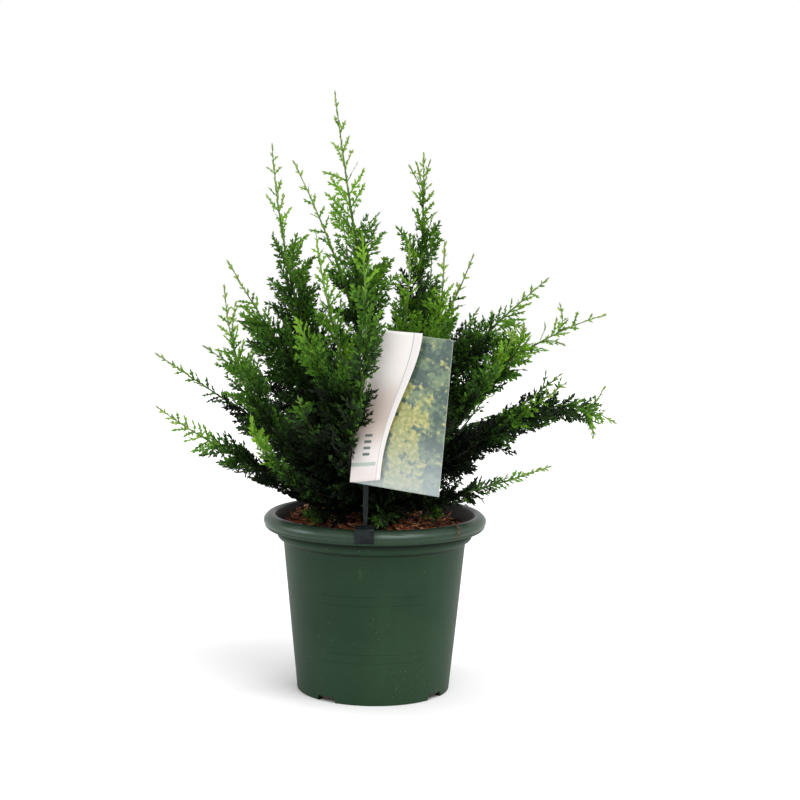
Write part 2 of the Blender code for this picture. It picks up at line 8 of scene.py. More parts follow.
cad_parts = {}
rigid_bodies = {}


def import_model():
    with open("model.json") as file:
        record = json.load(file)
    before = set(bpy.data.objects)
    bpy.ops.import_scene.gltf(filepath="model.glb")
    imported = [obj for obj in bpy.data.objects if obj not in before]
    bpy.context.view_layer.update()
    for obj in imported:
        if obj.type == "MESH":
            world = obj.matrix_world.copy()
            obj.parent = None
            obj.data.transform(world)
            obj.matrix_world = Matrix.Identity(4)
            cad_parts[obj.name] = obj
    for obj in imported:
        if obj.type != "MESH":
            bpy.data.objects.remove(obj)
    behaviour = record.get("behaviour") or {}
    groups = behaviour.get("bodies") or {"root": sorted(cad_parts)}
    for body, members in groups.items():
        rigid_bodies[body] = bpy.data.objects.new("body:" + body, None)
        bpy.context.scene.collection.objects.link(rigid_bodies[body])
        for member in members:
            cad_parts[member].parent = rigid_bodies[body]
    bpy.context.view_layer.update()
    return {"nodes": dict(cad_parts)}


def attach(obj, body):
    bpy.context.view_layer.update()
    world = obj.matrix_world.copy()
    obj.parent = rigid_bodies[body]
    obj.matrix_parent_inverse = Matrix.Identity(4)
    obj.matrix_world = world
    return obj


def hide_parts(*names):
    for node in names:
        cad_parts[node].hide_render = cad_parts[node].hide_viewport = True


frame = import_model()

rng = np.random.default_rng(7)
mm = 0.001


# meshes

def makePiece(name, points, faces, materials, slots=None, smooth=True, marks=None, uv=None):
    # faces is a list of whole arrays of corner numbers; marks are values kept on the points
    mesh = bpy.data.meshes.new(name)
    mesh.vertices.add(len(points))
    mesh.vertices.foreach_set("co", np.ascontiguousarray(points, np.float32).ravel())
    corners = np.concatenate([f.ravel() for f in faces]).astype(np.int32)
    sizes = np.concatenate([np.full(len(f), f.shape[1]) for f in faces])
    mesh.loops.add(len(corners))
    mesh.loops.foreach_set("vertex_index", corners)
    mesh.polygons.add(len(sizes))
    mesh.polygons.foreach_set("loop_start", (np.cumsum(sizes) - sizes).astype(np.int32))
    if slots is not None:
        mesh.polygons.foreach_set("material_index", slots.astype(np.int32))
    mesh.polygons.foreach_set("use_smooth", np.full(len(sizes), smooth))
    for key, values in (marks or {}).items():
        kept = mesh.attributes.new(key, "FLOAT", "POINT")
        kept.data.foreach_set("value", values.astype(np.float32))
    if uv is not None:
        layer = mesh.uv_layers.new(name="print")
        layer.data.foreach_set("uv", uv[corners].astype(np.float32).ravel())
    mesh.update(calc_edges=True)
    mesh.validate()
    for material in materials:
        mesh.materials.append(material)
    piece = bpy.data.objects.new(name, mesh)
    bpy.context.scene.collection.objects.link(piece)
    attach(piece, "root")
    return piece


def gridFaces(rows, columns, wrap=False):
    # quads between neighbouring rows and columns of a grid; wrap joins the last column to the first
    r = np.arange(rows - 1)[:, None]
    c = np.arange(columns if wrap else columns - 1)[None, :]
    after = (c + 1) % columns
    low, high = r * columns, (r + 1) * columns
    return np.stack([low + c, low + after, high + after, high + c], -1).reshape(-1, 4)


def endFans(columns, total):
    # triangles that close a tube's first and last rings, to the two points that follow its total points
    c = np.arange(columns)
    after = (c + 1) % columns
    last = total - columns
    first = np.stack([np.full(columns, total), after, c], -1)
    final = np.stack([np.full(columns, total + 1), last + c, last + after], -1)
    return [first, final]


def revolve(profile, columns):
    # each profile point turned about Z; the first and last points are on the axis and close it
    angle = np.linspace(0, math.tau, columns, endpoint=False)
    ring = profile[1:-1]
    around = np.stack([np.cos(angle), np.sin(angle)], -1)
    flat = ring[:, None, 0:1] * around[None]
    high = np.broadcast_to(ring[:, None, 1:2], flat.shape[:2] + (1,))
    points = np.concatenate([flat, high], -1).reshape(-1, 3)
    ends = np.array([[0, 0, profile[0, 1]], [0, 0, profile[-1, 1]]])
    faces = [gridFaces(len(ring), columns, True), *endFans(columns, len(points))]
    return np.concatenate([points, ends]), faces


def filleted(corners, steps=5):
    # each inner corner becomes a parabola that starts and ends its own distance from the corner
    place, size = corners[:, :2], corners[1:-1, 2:3]
    before, here, after = place[:-2], place[1:-1], place[2:]
    toBefore, toAfter = before - here, after - here
    lengthBefore = np.linalg.norm(toBefore, axis=1, keepdims=True)
    lengthAfter = np.linalg.norm(toAfter, axis=1, keepdims=True)
    a = here + toBefore / lengthBefore * np.minimum(size, 0.45 * lengthBefore)
    b = here + toAfter / lengthAfter * np.minimum(size, 0.45 * lengthAfter)
    t = np.linspace(0, 1, steps)[None, :, None]
    arcs = (1 - t) ** 2 * a[:, None] + 2 * t * (1 - t) * here[:, None] + t ** 2 * b[:, None]
    return np.concatenate([place[:1], arcs.reshape(-1, 2), place[-1:]])


def normalise(v):
    # vectors over their own length
    return v / np.maximum(np.linalg.norm(v, axis=-1, keepdims=True), 1e-12)


def carried(path, across, section, scale=None):
    # a closed section (n, 2) carried along a path, in the frame of across and its perpendicular
    along = normalise(np.gradient(path, axis=0))
    u = normalise(across - along * (across * along).sum(-1, keepdims=True))
    v = np.cross(along, u)
    size = np.ones((len(path), 1, 1)) if scale is None else scale
    if np.ndim(size) == 1:
        size = size[:, None, None]
    shape = section * size
    points = path[:, None] + shape[..., 0:1] * u[:, None] + shape[..., 1:2] * v[:, None]
    n = section.shape[-2]
    faces = [gridFaces(len(path), n, True), *endFans(n, len(path) * n)]
    return np.concatenate([points.reshape(-1, 3), path[:1], path[-1:]]), faces


def circle(sides):
    # even points round a circle of radius 1
    angle = np.linspace(0, math.tau, sides, endpoint=False)
    return np.stack([np.cos(angle), np.sin(angle)], -1)


def roundedRectangle(width, depth, radius, steps=4):
    # four quarter circles, one round each corner
    angle = (np.arange(4)[:, None] + np.linspace(0, 1, steps)[None]) * math.pi / 2
    middle = np.array([[1, 1], [-1, 1], [-1, -1], [1, -1]]) * [width / 2 - radius, depth / 2 - radius]
    return (middle[:, None] + radius * np.stack([np.cos(angle), np.sin(angle)], -1)).reshape(-1, 2)


def latticeNoise(points, seed):
    # random values on a unit lattice, blended by 3t^2 - 2t^3, from -1 to 1. Each value is a hash of its
    # lattice point, by large primes.
    cell = np.floor(points).astype(np.int64)
    t = points - cell
    t = t * t * (3 - 2 * t)
    total = 0
    for corner in range(8):
        step = np.array([corner & 1, corner >> 1 & 1, corner >> 2 & 1])
        at = cell + step
        key = at[..., 0] * 73856093 ^ at[..., 1] * 19349663 ^ at[..., 2] * 83492791 ^ seed * 6700417
        key = (key ^ key >> 13) * 1274126177 & 0x7FFFFFFF
        value = ((key ^ key >> 16) & 0xFFFF) / 32767.5 - 1
        total = total + value * np.where(step, t, 1 - t).prod(-1)
    return total


def joined(parts):
    # stacks meshes that come as (points, [face arrays]) into one
    points, faces, start = [], {}, 0
    for place, sets in parts:
        points.append(place)
        for f in sets:
            faces.setdefault(f.shape[1], []).append(f + start)
        start += len(place)
    return np.concatenate(points), [np.concatenate(f) for f in faces.values()]


# materials

def paint(code):
    # an sRGB colour code as linear values
    parts = [int(code[i:i + 2], 16) / 255 for i in (1, 3, 5)]
    return tuple(c / 12.92 if c <= 0.04045 else ((c + 0.055) / 1.055) ** 2.4 for c in parts) + (1.0,)


class Wire:
    # wraps a socket, so that shader maths reads as plain expressions
    def __init__(self, look, socket):
        self.look, self.socket = look, socket

    def maths(self, operation, *values):
        return self.look.node("ShaderNodeMath", {"operation": operation}, dict(enumerate(values)))

    def __add__(self, other):
        return self.maths("ADD", self, other)

    __radd__ = __add__

    def __sub__(self, other):
        return self.maths("SUBTRACT", self, other)

    def __rsub__(self, other):
        return self.maths("SUBTRACT", other, self)

    def __mul__(self, other):
        return self.maths("MULTIPLY", self, other)

    __rmul__ = __mul__

    def above(self, edge, width):
        # 0 under the edge and 1 from the edge plus the width, with a soft step between
        sockets = {"Value": self, "From Min": edge, "From Max": edge + width}
        return self.look.node("ShaderNodeMapRange", {"interpolation_type": "SMOOTHSTEP"}, sockets)

    def between(self, low, high, width, ending=None):
        # 1 between two edges, with a soft step at each; the second may have a width of its own
        return self.above(low, width) * (1 - self.above(high, ending or width))


class Look:
    # one material and its nodes
    def __init__(self, name, colour, roughness, **constants):
        self.material = bpy.data.materials.new(name)
        self.material.use_nodes = True
        self.tree = self.material.node_tree
        self.shader = self.tree.nodes["Principled BSDF"]
        self.feed("Base Color", paint(colour))
        self.feed("Roughness", roughness)
        for key, value in constants.items():
            self.feed(key.replace("_", " "), value)

    def node(self, kind, settings=None, sockets=None, out=0):
        # any node: its settings first, then the values or links of its sockets
        made = self.tree.nodes.new(kind)
        for key, value in (settings or {}).items():
            if key == "stops":
                stops = made.color_ramp.elements
                while len(stops) < len(value):
                    stops.new(0.5)
                for stop, (place, colour) in zip(stops, value):
                    stop.position, stop.color = place, paint(colour)
            else:
                setattr(made, key, value)
        for key, value in (sockets or {}).items():
            if isinstance(value, Wire):
                self.tree.links.new(value.socket, made.inputs[key])
            else:
                made.inputs[key].default_value = value
        return Wire(self, made.outputs[out])

    def feed(self, key, value):
        if isinstance(value, Wire):
            self.tree.links.new(value.socket, self.shader.inputs[key])
        else:
            self.shader.inputs[key].default_value = value

    def place(self, stretch=(1, 1, 1)):
        here = self.node("ShaderNodeTexCoord", out=3)
        return self.node("ShaderNodeMapping", None, {"Vector": here, "Scale": stretch})

    def noise(self, scale, detail=3.0, stretch=(1, 1, 1), where=None):
        sockets = {"Vector": where or self.place(stretch), "Scale": scale, "Detail": detail}
        return self.node("ShaderNodeTexNoise", None, sockets)

    def part(self, vector, axis):
        # a vector's X, Y or Z, by number
        return self.node("ShaderNodeSeparateXYZ", None, {0: vector}, out=axis)

    def mix(self, factor, a, b):
        colours = {6: paint(a) if isinstance(a, str) else a, 7: paint(b) if isinstance(b, str) else b}
        return self.node("ShaderNodeMix", {"data_type": "RGBA"}, {0: factor, **colours}, out=2)

    def bump(self, height, strength, distance):
        sockets = {"Height": height, "Strength": strength, "Distance": distance}
        self.feed("Normal", self.node("ShaderNodeBump", None, sockets))


# camera, lights and floor

view = dict(place=(0.0199, -1.5315, 0.4148), pitch=6.198, roll=0.819, focal=1814.35, frameSize=800)


def setCamera():
    # looks along +Y, pitched down and rolled a little; the focal length is in pixels of the photo
    camera = bpy.data.cameras.new("camera")
    camera.sensor_width = 36
    camera.lens = 36 * view["focal"] / view["frameSize"]
    cameraObject = bpy.data.objects.new("camera", camera)
    bpy.context.scene.collection.objects.link(cameraObject)
    pitch, roll = math.radians(view["pitch"]), math.radians(view["roll"])
    turn = Matrix.Rotation(math.pi / 2 - pitch, 4, "X") @ Matrix.Rotation(roll, 4, "Z")
    cameraObject.matrix_world = Matrix.Translation(view["place"]) @ turn
    bpy.context.scene.camera = cameraObject


studio = dict(sky=1.0, floorShade="#f6f6f6", floorSize=6.0,
              suns=[dict(name="sun", strength=1.42, angle=38.0, source=(0.62, -0.72, 1.5)),
                    dict(name="overhead", strength=0.4, angle=13.0, source=(-0.14, 0.05, 1.0))])


def setStudio():
    # an even white room, one broad sun from the right that casts a soft shadow, a weaker one from overhead
    # that draws the line of light on the rim, and a plain pale floor
    scene = bpy.context.scene
    scene.view_settings.view_transform = "Standard"
    world = bpy.data.worlds.new("studio")
    world.use_nodes = True
    world.node_tree.nodes["Background"].inputs["Color"].default_value = (1, 1, 1, 1)
    world.node_tree.nodes["Background"].inputs["Strength"].default_value = studio["sky"]
    scene.world = world
    for each in studio["suns"]:
        lamp = bpy.data.lights.new(each["name"], "SUN")
        lamp.energy, lamp.angle = each["strength"], math.radians(each["angle"])
        sun = bpy.data.objects.new(each["name"], lamp)
        scene.collection.objects.link(sun)
        sun.rotation_euler = Vector(each["source"]).to_track_quat("Z", "Y").to_euler()
    half = studio["floorSize"] / 2
    corners = np.array([[-half, -half, 0], [half, -half, 0], [half, half, 0], [-half, half, 0]])
    mesh = bpy.data.meshes.new("floor")
    mesh.from_pydata(corners.tolist(), [], [(0, 1, 2, 3)])
    mesh.materials.append(Look("floor", studio["floorShade"], 0.9).material)
    floor = bpy.data.objects.new("floor", mesh)
    scene.collection.objects.link(floor)


setCamera()
setStudio()
print("camera and studio set")


# pot

pot = dict(rim=95.0, height=152.2, base=65.2, wall=1.8, wallTop=77.8, collarFoot=128.5, collar=83.6,
           rimFoot=139.2, rimInside=85.0, columns=360, wallRows=(124, 7, 40), footRows=(6, 1, 16),
           underRows=(44, 28), centreRows=(40, 4, 6), insideRows=22, unevenness=0.22, notchHeight=4.6,
           notchWidth=17.0, notchDepth=17.5, notchEdge=0.5, notchFirst=-126.0, drain=4.5, drainDepth=1.5,
           drainInset=8, grooves=(93.2, 85.6, 43.6, 36.2), grooveDepth=0.46, grooveWidth=0.38,
           grooveSpan=38.0)

# heights on the pot where its finish changes, in metres: the shoulder's painted highlight, the rim top's
# painted reflection, the painted shade under the rim and along the foot of the collar, and where the coat
# begins
potBands = dict(shoulder=(0.1460, 0.1480), rimTop=0.1495, shadeUnderRim=(0.1325, 0.1396),
                collarFoot=(0.1268, 0.1288), polished=0.1405)


def potProfile():
    # radius, height and fillet of each corner: up the inside, over the rolled rim, down the outside
    p = pot
    floorRadius = p["base"] - p["wall"]
    inside = [
        (0, p["wall"], 0), (floorRadius - 0.4, p["wall"], 2),
        (p["wallTop"] - p["wall"], p["collarFoot"], 3),
        (p["collar"] - p["wall"] - 1.2, p["rimFoot"], 3), (p["rimInside"] - 0.2, p["height"] - 1.4, 2),
    ]
    rim = [
        (p["rimInside"] + 2.2, p["height"], 1.8), (p["rim"] - 4.0, p["height"] - 0.7, 3.2),
        (p["rim"], p["height"] - 4.6, 2.8), (p["rim"] - 0.1, p["height"] - 8.2, 1.4),
        (p["rim"] - 1.4, p["rimFoot"] + 3.2, 0.5), (p["rim"] - 0.9, p["rimFoot"] + 2.4, 0.5),
        (p["rim"] - 2.8, p["rimFoot"] + 0.1, 1.2), (p["rim"] - 5.0, p["rimFoot"], 0.8),
        (p["rim"] - 5.2, p["rimFoot"] + 5.0, 1.4), (p["collar"] + 0.6, p["rimFoot"] + 4.4, 1.6),
    ]
    outside = [
        (p["collar"] - 0.1, p["collarFoot"] + 5.2, 1.2), (p["collar"] - 1.2, p["collarFoot"] + 2.4, 1.2),
        (p["wallTop"] + 1.3, p["collarFoot"] + 0.6, 0.7), (p["wallTop"] - 0.1, p["collarFoot"] - 0.9, 0.7),
    ]
    return filleted(np.array(inside + rim + outside + [(p["base"], 0, 0)], float))


def makePot():
    # a turned shell; the lower wall and the underside rise to form the drain channels. The wall has more
    # rows at the moulded lines and near the foot.
    p = pot
    top = potProfile()[:-1]
    nearGrooves = [g + np.linspace(-1, 1, 7) for g in p["grooves"]]
    heights = np.concatenate([np.linspace(*p["wallRows"]), *nearGrooves, np.linspace(*p["footRows"])])
    heights = np.unique(heights.round(3))[::-1]
    slope = (p["wallTop"] - p["base"]) / p["collarFoot"]
    wall = np.stack([p["base"] + slope * heights, heights], -1)
    foot = np.array([[p["base"] - 0.1, 0.45], [p["base"] - 0.5, 0.08], [p["base"] - 1.0, 0.0]])
    flat = np.concatenate([np.linspace(p["base"] - 1.8, *p["underRows"]), np.linspace(*p["centreRows"])])
    under = np.stack([flat, np.zeros(len(flat))], -1)
    profile = np.concatenate([top, wall, foot, under, [[0, 0]]])
    points, faces = revolve(profile, p["columns"])
    # the profile runs down the outside, so the faces are turned round to look outwards
    faces = [f[:, ::-1] for f in faces]
    radius, angle = np.hypot(points[:, 0], points[:, 1]), np.arctan2(points[:, 1], points[:, 0])
    z = points[:, 2]
    outer = np.arange(len(points)) >= (len(top) - 1) * p["columns"]
    outer[-2] = False
    # distance across and along the nearest channel's middle line
    first = math.radians(p["notchFirst"])
    nearest = (angle - first + math.pi / 4) % (math.pi / 2) - math.pi / 4
    side, out = radius * np.sin(nearest), radius * np.cos(nearest)
    channelEnd = p["base"] - p["notchDepth"]
    window = np.clip((p["notchWidth"] / 2 - np.abs(side)) / p["notchEdge"], 0, 1)
    window *= np.clip((out - channelEnd) / p["notchEdge"], 0, 1) * outer
    lift = p["notchHeight"] * window
    points[:, 2] = np.where(outer & (z < lift), lift - (lift - z) * 0.02, z)
    drain = np.hypot(side, out - (channelEnd + p["drainInset"]))
    hollow = np.clip((p["drain"] - drain) / 0.7, 0, 1) * (window > 0.9) * (z < 0.01)
    points[:, 2] += p["drainDepth"] * hollow
    # two pairs of fine moulded lines on the front, and the slow unevenness of a thin wall
    front = np.clip((math.radians(p["grooveSpan"]) - np.abs(angle + math.pi / 2)) / 0.06, 0, 1)
    lines = sum(np.exp(-((z - g) / p["grooveWidth"]) ** 2) for g in p["grooves"])
    depth = lines * p["grooveDepth"] * front
    wave = latticeNoise(np.stack([np.cos(angle) * 2.2, np.sin(angle) * 2.2, z / 60], -1), 3)
    wave = p["unevenness"] * wave
    onWall = outer & (z > 5) & (z < p["collarFoot"] - 2)
    grow = np.where(onWall, wave * np.clip((z - 5) / 12, 0, 1) - depth, 0) / np.maximum(radius, 1)
    points[:, :2] *= 1 + grow[:, None]
    # the inner wall, and the underside with its channels, have finishes of their own; the underside's near
    # black is soil and painted shade together
    middle = points[faces[0]].mean(1)
    row = np.arange(len(faces[0])) // p["columns"]
    insideWall = (row < p["insideRows"]) & (middle[:, 2] < p["height"] - 1.5)
    below = (row >= len(top) - 1) & (middle[:, 2] < p["notchHeight"] + 0.3)
    below &= np.hypot(middle[:, 0], middle[:, 1]) < p["base"] - 0.7
    slots = np.concatenate([insideWall + 2 * below, np.ones(p["columns"]), np.full(p["columns"], 2)])
    return makePiece("potShell", points * mm, faces, [potPlastic(), potInside(), potFoot()], slots)


def potPlastic():
    # satin green plastic with a clear coat on the rim: slow mottling, fine moulded grain, specks of dust,
    # pale rubs and scuffs; on the rim a painted highlight and a painted reflection, and painted shade under
    # the rim
    bands = potBands
    look = Look("potPlastic", "#22382a", 0.5, Specular_IOR_Level=0.15, Coat_Roughness=0.09)
    here = look.place()
    height = look.part(here, 2)
    sideways = look.part(here, 0)
    slow = look.noise(9, 4)
    streak = look.noise(26, 5, (1, 1, 0.16))
    colour = look.mix(slow.above(0.35, 0.3), "#1b3320", "#233c27")
    colour = look.mix(streak.above(0.5, 0.3) * 0.35, colour, "#2c4631")
    dust = look.noise(560, 2).above(0.70, 0.08) * look.noise(26, 2).above(0.38, 0.2)
    rubs = look.noise(110, 6, (1, 1, 0.6)).above(0.62, 0.08) * look.noise(16, 2).above(0.5, 0.15)
    colour = look.mix(dust * 0.26, colour, "#93a184")
    scuffs = look.noise(950, 2, (1, 1, 0.7)).above(0.64, 0.08) * look.noise(13, 3).above(0.45, 0.15)
    colour = look.mix(scuffs * 0.16, colour, "#8a9a7c")
    colour = look.mix(rubs * 0.045, colour, "#7c8a62")
    # the rim's shoulder takes a painted highlight, pale in places and more to the left, and its top a
    # painted dark reflection
    shoulder = height.between(*bands["shoulder"], 0.001)
    # painted highlight: its strength along the shoulder, broken up by noise and fading out to the right
    shoulderHighlight = 0.06 + look.noise(11, 2, (1, 1, 0.2)).above(0.42, 0.2) * 0.3
    shoulderHighlight = shoulderHighlight * (1 - sideways.above(0.0, 0.06) * 0.85)
    # painted reflection: the top of the rim darkened halfway to near black, as if it mirrored the foliage
    # over it
    colour = look.mix(height.above(bands["rimTop"], 0.0015) * 0.5, colour, "#101a14")
    colour = look.mix(shoulder * shoulderHighlight, colour, "#8d9c99")
    # painted shade: darker under the rolled rim, where its overhang would shadow the collar, and a dark
    # line in the crease along the foot of the collar
    shadeUnderRim = height.between(*bands["shadeUnderRim"], 0.0062, 0.0008)
    # painted shade: a thin dark line at the foot of the collar
    collarFoot = height.between(*bands["collarFoot"], 0.001, 0.0008)
    colour = look.mix(shadeUnderRim * 0.9 + collarFoot * 0.7, colour, "#060b07")
    look.feed("Base Color", colour)
    look.feed("Roughness", 0.44 + streak * 0.12 + dust * 0.3 + shadeUnderRim * 0.3)
    look.feed("Coat Weight", height.above(bands["polished"], 0.002) * 0.3)
    look.bump(look.noise(700, 3) * 0.5 + look.noise(60, 3), 0.12, 0.0006)
    return look.material


def potInside():
    # the inner wall: darker, and brown with splashed compost
    look = Look("potInside", "#2a2422", 0.6)
    soiled = look.noise(60, 6)
    look.feed("Base Color", look.mix(soiled.above(0.42, 0.2), "#241f22", "#3a2b22"))
    look.bump(soiled, 0.3, 0.001)
    return look.material


def potFoot():
    # the underside and its channels: dull, and near black with soil and with painted shade
    look = Look("potFoot", "#0b0d0a", 0.95, Specular_IOR_Level=0.05)
    look.feed("Base Color", look.mix(look.noise(120, 4).above(0.45, 0.2), "#090b08", "#16150f"))
    return look.material


potShell = makePot()
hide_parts("pot")
print("pot made")


# compost and bark mulch

soil = dict(middle=145.0, flat=45.0, mid=143.6, edge=70.0, edgeHeight=141.6, wallRadius=80.2,
            wallHeight=138.6, side=((75.6, 128.2), (66.0, 26.0), (63.4, 6.9)), columns=220, bumps=1.1,
            heap=(-62.0, 40.0, 8.5), heapSize=(26.0, 34.0))

mulchChips = dict(count=2500, length=(3.0, 20.0), width=(0.9, 4.2), thick=(0.35, 1.0), lift=(-0.9, 2.4),
                  tilt=0.24, roll=0.35, bend=0.10, sideBend=0.12, shares=(0.28, 0.22, 0.18, 0.12, 0.20))

# a loose fibre that hangs over the rim: the places that it passes
fibre = dict(knots=((58, -40, 146.2), (62, -49, 149.5), (64.5, -56, 153.4), (67, -61.5, 153.5),
                    (69.2, -65.8, 151.2), (69.8, -67.2, 146.5), (68.2, -68.4, 141.5)),
             rings=40, width=1.4, thick=0.5)


def soilHeight(radius):
    # the mulch's level at a radius, in millimetres
    s = soil
    return np.interp(radius, [0, 16, s["flat"], s["edge"], s["wallRadius"]],
                     [s["middle"], s["middle"], s["mid"], s["edgeHeight"], s["wallHeight"]])


def heapOver(x, y):
    # a bell-shaped bank of mulch against the wall, at the back on the left
    middleX, middleY, high = soil["heap"]
    sizeX, sizeY = soil["heapSize"]
    return high * np.exp(-((x - middleX) / sizeX) ** 2 - ((y - middleY) / sizeY) ** 2)


def makeSoil():
    # a turned body that fills the pot; its upper face is roughened by noise
    radii = np.linspace(1.2, soil["wallRadius"], 64)
    top = np.stack([radii, soilHeight(radii)], -1)
    side = np.array(soil["side"])
    profile = np.concatenate([[[0, soil["middle"]]], top, side, [[0, side[-1, 1]]]])
    points, faces = revolve(profile[::-1], soil["columns"])
    upper = points[:, 2] > 138
    rough = latticeNoise(points / 3.2, 5) + 0.6 * latticeNoise(points / 1.3, 6)
    rise = (rough * 0.6 - 0.9) * soil["bumps"] + heapOver(points[:, 0], points[:, 1])
    points[:, 2] += np.where(upper, rise, 0)
    look = Look("compost", "#1d120c", 0.95)
    grain = look.noise(240, 5)
    look.feed("Base Color", look.mix(grain.above(0.4, 0.25), "#0f0906", "#3a2113"))
    look.bump(grain, 0.8, 0.002)
    return makePiece("compost", points * mm, faces, [look.material])


def barkLook(name, dark, light):
    # one shade of shredded bark, with fibres
    look = Look(name, light, 0.85)
    strips = look.noise(500, 4)
    look.feed("Base Color", look.mix(strips.above(0.38, 0.3), dark, light))
    look.bump(strips, 0.5, 0.0008)
    return look.material


def makeFibre():
    # a flat strip carried through its knots, widest in its middle
    knots, rings = np.array(fibre["knots"], float), fibre["rings"]
    step, even = np.arange(len(knots)), np.linspace(0, len(knots) - 1, rings)
    path = np.stack([np.interp(even, step, knots[:, k]) for k in range(3)], -1)
    path[1:-1] = (path[:-2] + 2 * path[1:-1] + path[2:]) / 4
    wide = fibre["width"] * (0.5 + 0.5 * np.sin(math.pi * np.linspace(0.08, 0.95, rings)))
    section = np.stack([roundedRectangle(w, fibre["thick"], 0.15, 2) for w in wide])
    return carried(path, np.array([0.75, 0.66, 0.0]), section)


def makeMulch():
    # splinters of four sections by four corners, each bent, tapered and laid at its own angle, and the
    # fibre
    c, n = mulchChips, mulchChips["count"]
    size = lambda low, high, power=1.0: low + (high - low) * rng.random(n) ** power
    length, width, thick = size(*c["length"], 1.9), size(*c["width"], 1.4), size(*c["thick"])
    radius = (soil["wallRadius"] - 1.0 - length / 2).clip(5) * np.sqrt(rng.random(n))
    bearing, heading = rng.random(n) * math.tau, rng.random(n) * math.tau
    place = np.stack([radius * np.cos(bearing), radius * np.sin(bearing), soilHeight(radius)], -1)
    place[:, 2] += rng.uniform(*c["lift"], n) + heapOver(place[:, 0], place[:, 1])
    tilt = rng.normal(0, c["tilt"], n)
    along = np.stack([np.cos(heading) * np.cos(tilt), np.sin(heading) * np.cos(tilt), np.sin(tilt)], -1)
    up = normalise(np.array([0, 0, 1.0]) + rng.normal(0, c["roll"], (n, 3)))
    across = normalise(np.cross(up, along))
    up = np.cross(along, across)
    t = np.array([-0.5, -0.2, 0.2, 0.5])
    taper = np.stack([rng.uniform(*ends, n) for ends in ((0.25, 0.8), (0.7, 1), (0.1, 0.6))], -1)
    taper = np.insert(taper, 1, 1.0, axis=1)
    bend = rng.normal(0, c["bend"], n)[:, None] * length[:, None] * (0.25 - t ** 2)
    sideBend = rng.normal(0, c["sideBend"], n)[:, None] * length[:, None] * (0.25 - t ** 2)
    middle = (place[:, None] + along[:, None] * (t * length[:, None])[..., None]
              + up[:, None] * bend[..., None] + across[:, None] * sideBend[..., None])
    corner = np.array([[-1, -1], [1, -1], [1, 1], [-1, 1]]) * 0.5
    wide, high = width[:, None] * taper, thick[:, None] * taper ** 0.5
    wide = wide[:, :, None, None] * corner[None, None, :, 0:1] * across[:, None, None]
    high = high[:, :, None, None] * corner[None, None, :, 1:2] * up[:, None, None]
    points = middle[:, :, None] + wide + high
    tube = gridFaces(4, 4, True)
    caps = np.array([[3, 2, 1, 0], [12, 13, 14, 15]])
    faces = (np.arange(n)[:, None, None] * 16 + np.concatenate([tube, caps])[None]).reshape(-1, 4)
    shade = rng.choice(len(c["shares"]), n, p=c["shares"])
    looks = [barkLook("barkRed", "#6a2c12", "#b0602f"), barkLook("barkBrown", "#2c180c", "#7a4423"),
             barkLook("barkDark", "#0e0806", "#2c1a10"), barkLook("barkTan", "#9a663c", "#dcae7c"),
             barkLook("barkRust", "#8a431c", "#cc8048")]
    strand, strandFaces = makeFibre()
    count = sum(len(f) for f in strandFaces)
    points, faces = joined([(points.reshape(-1, 3), [faces]), (strand, strandFaces)])
    shade = np.concatenate([np.repeat(shade, len(tube) + len(caps)), np.full(count, 1)])
    return makePiece("mulch", points * mm, faces, looks, shade, smooth=False)


compost = makeSoil()
mulch = makeMulch()
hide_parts("soil")
print("compost and mulch made")


# trunk and limbs

trunk = dict(foot=144.6, top=300.0, lean=(-4.0, 1.0), radius=6.2, tipRadius=2.1, flare=4.6,
             flareHeight=14.0, sides=56, rings=150, relief=0.55)
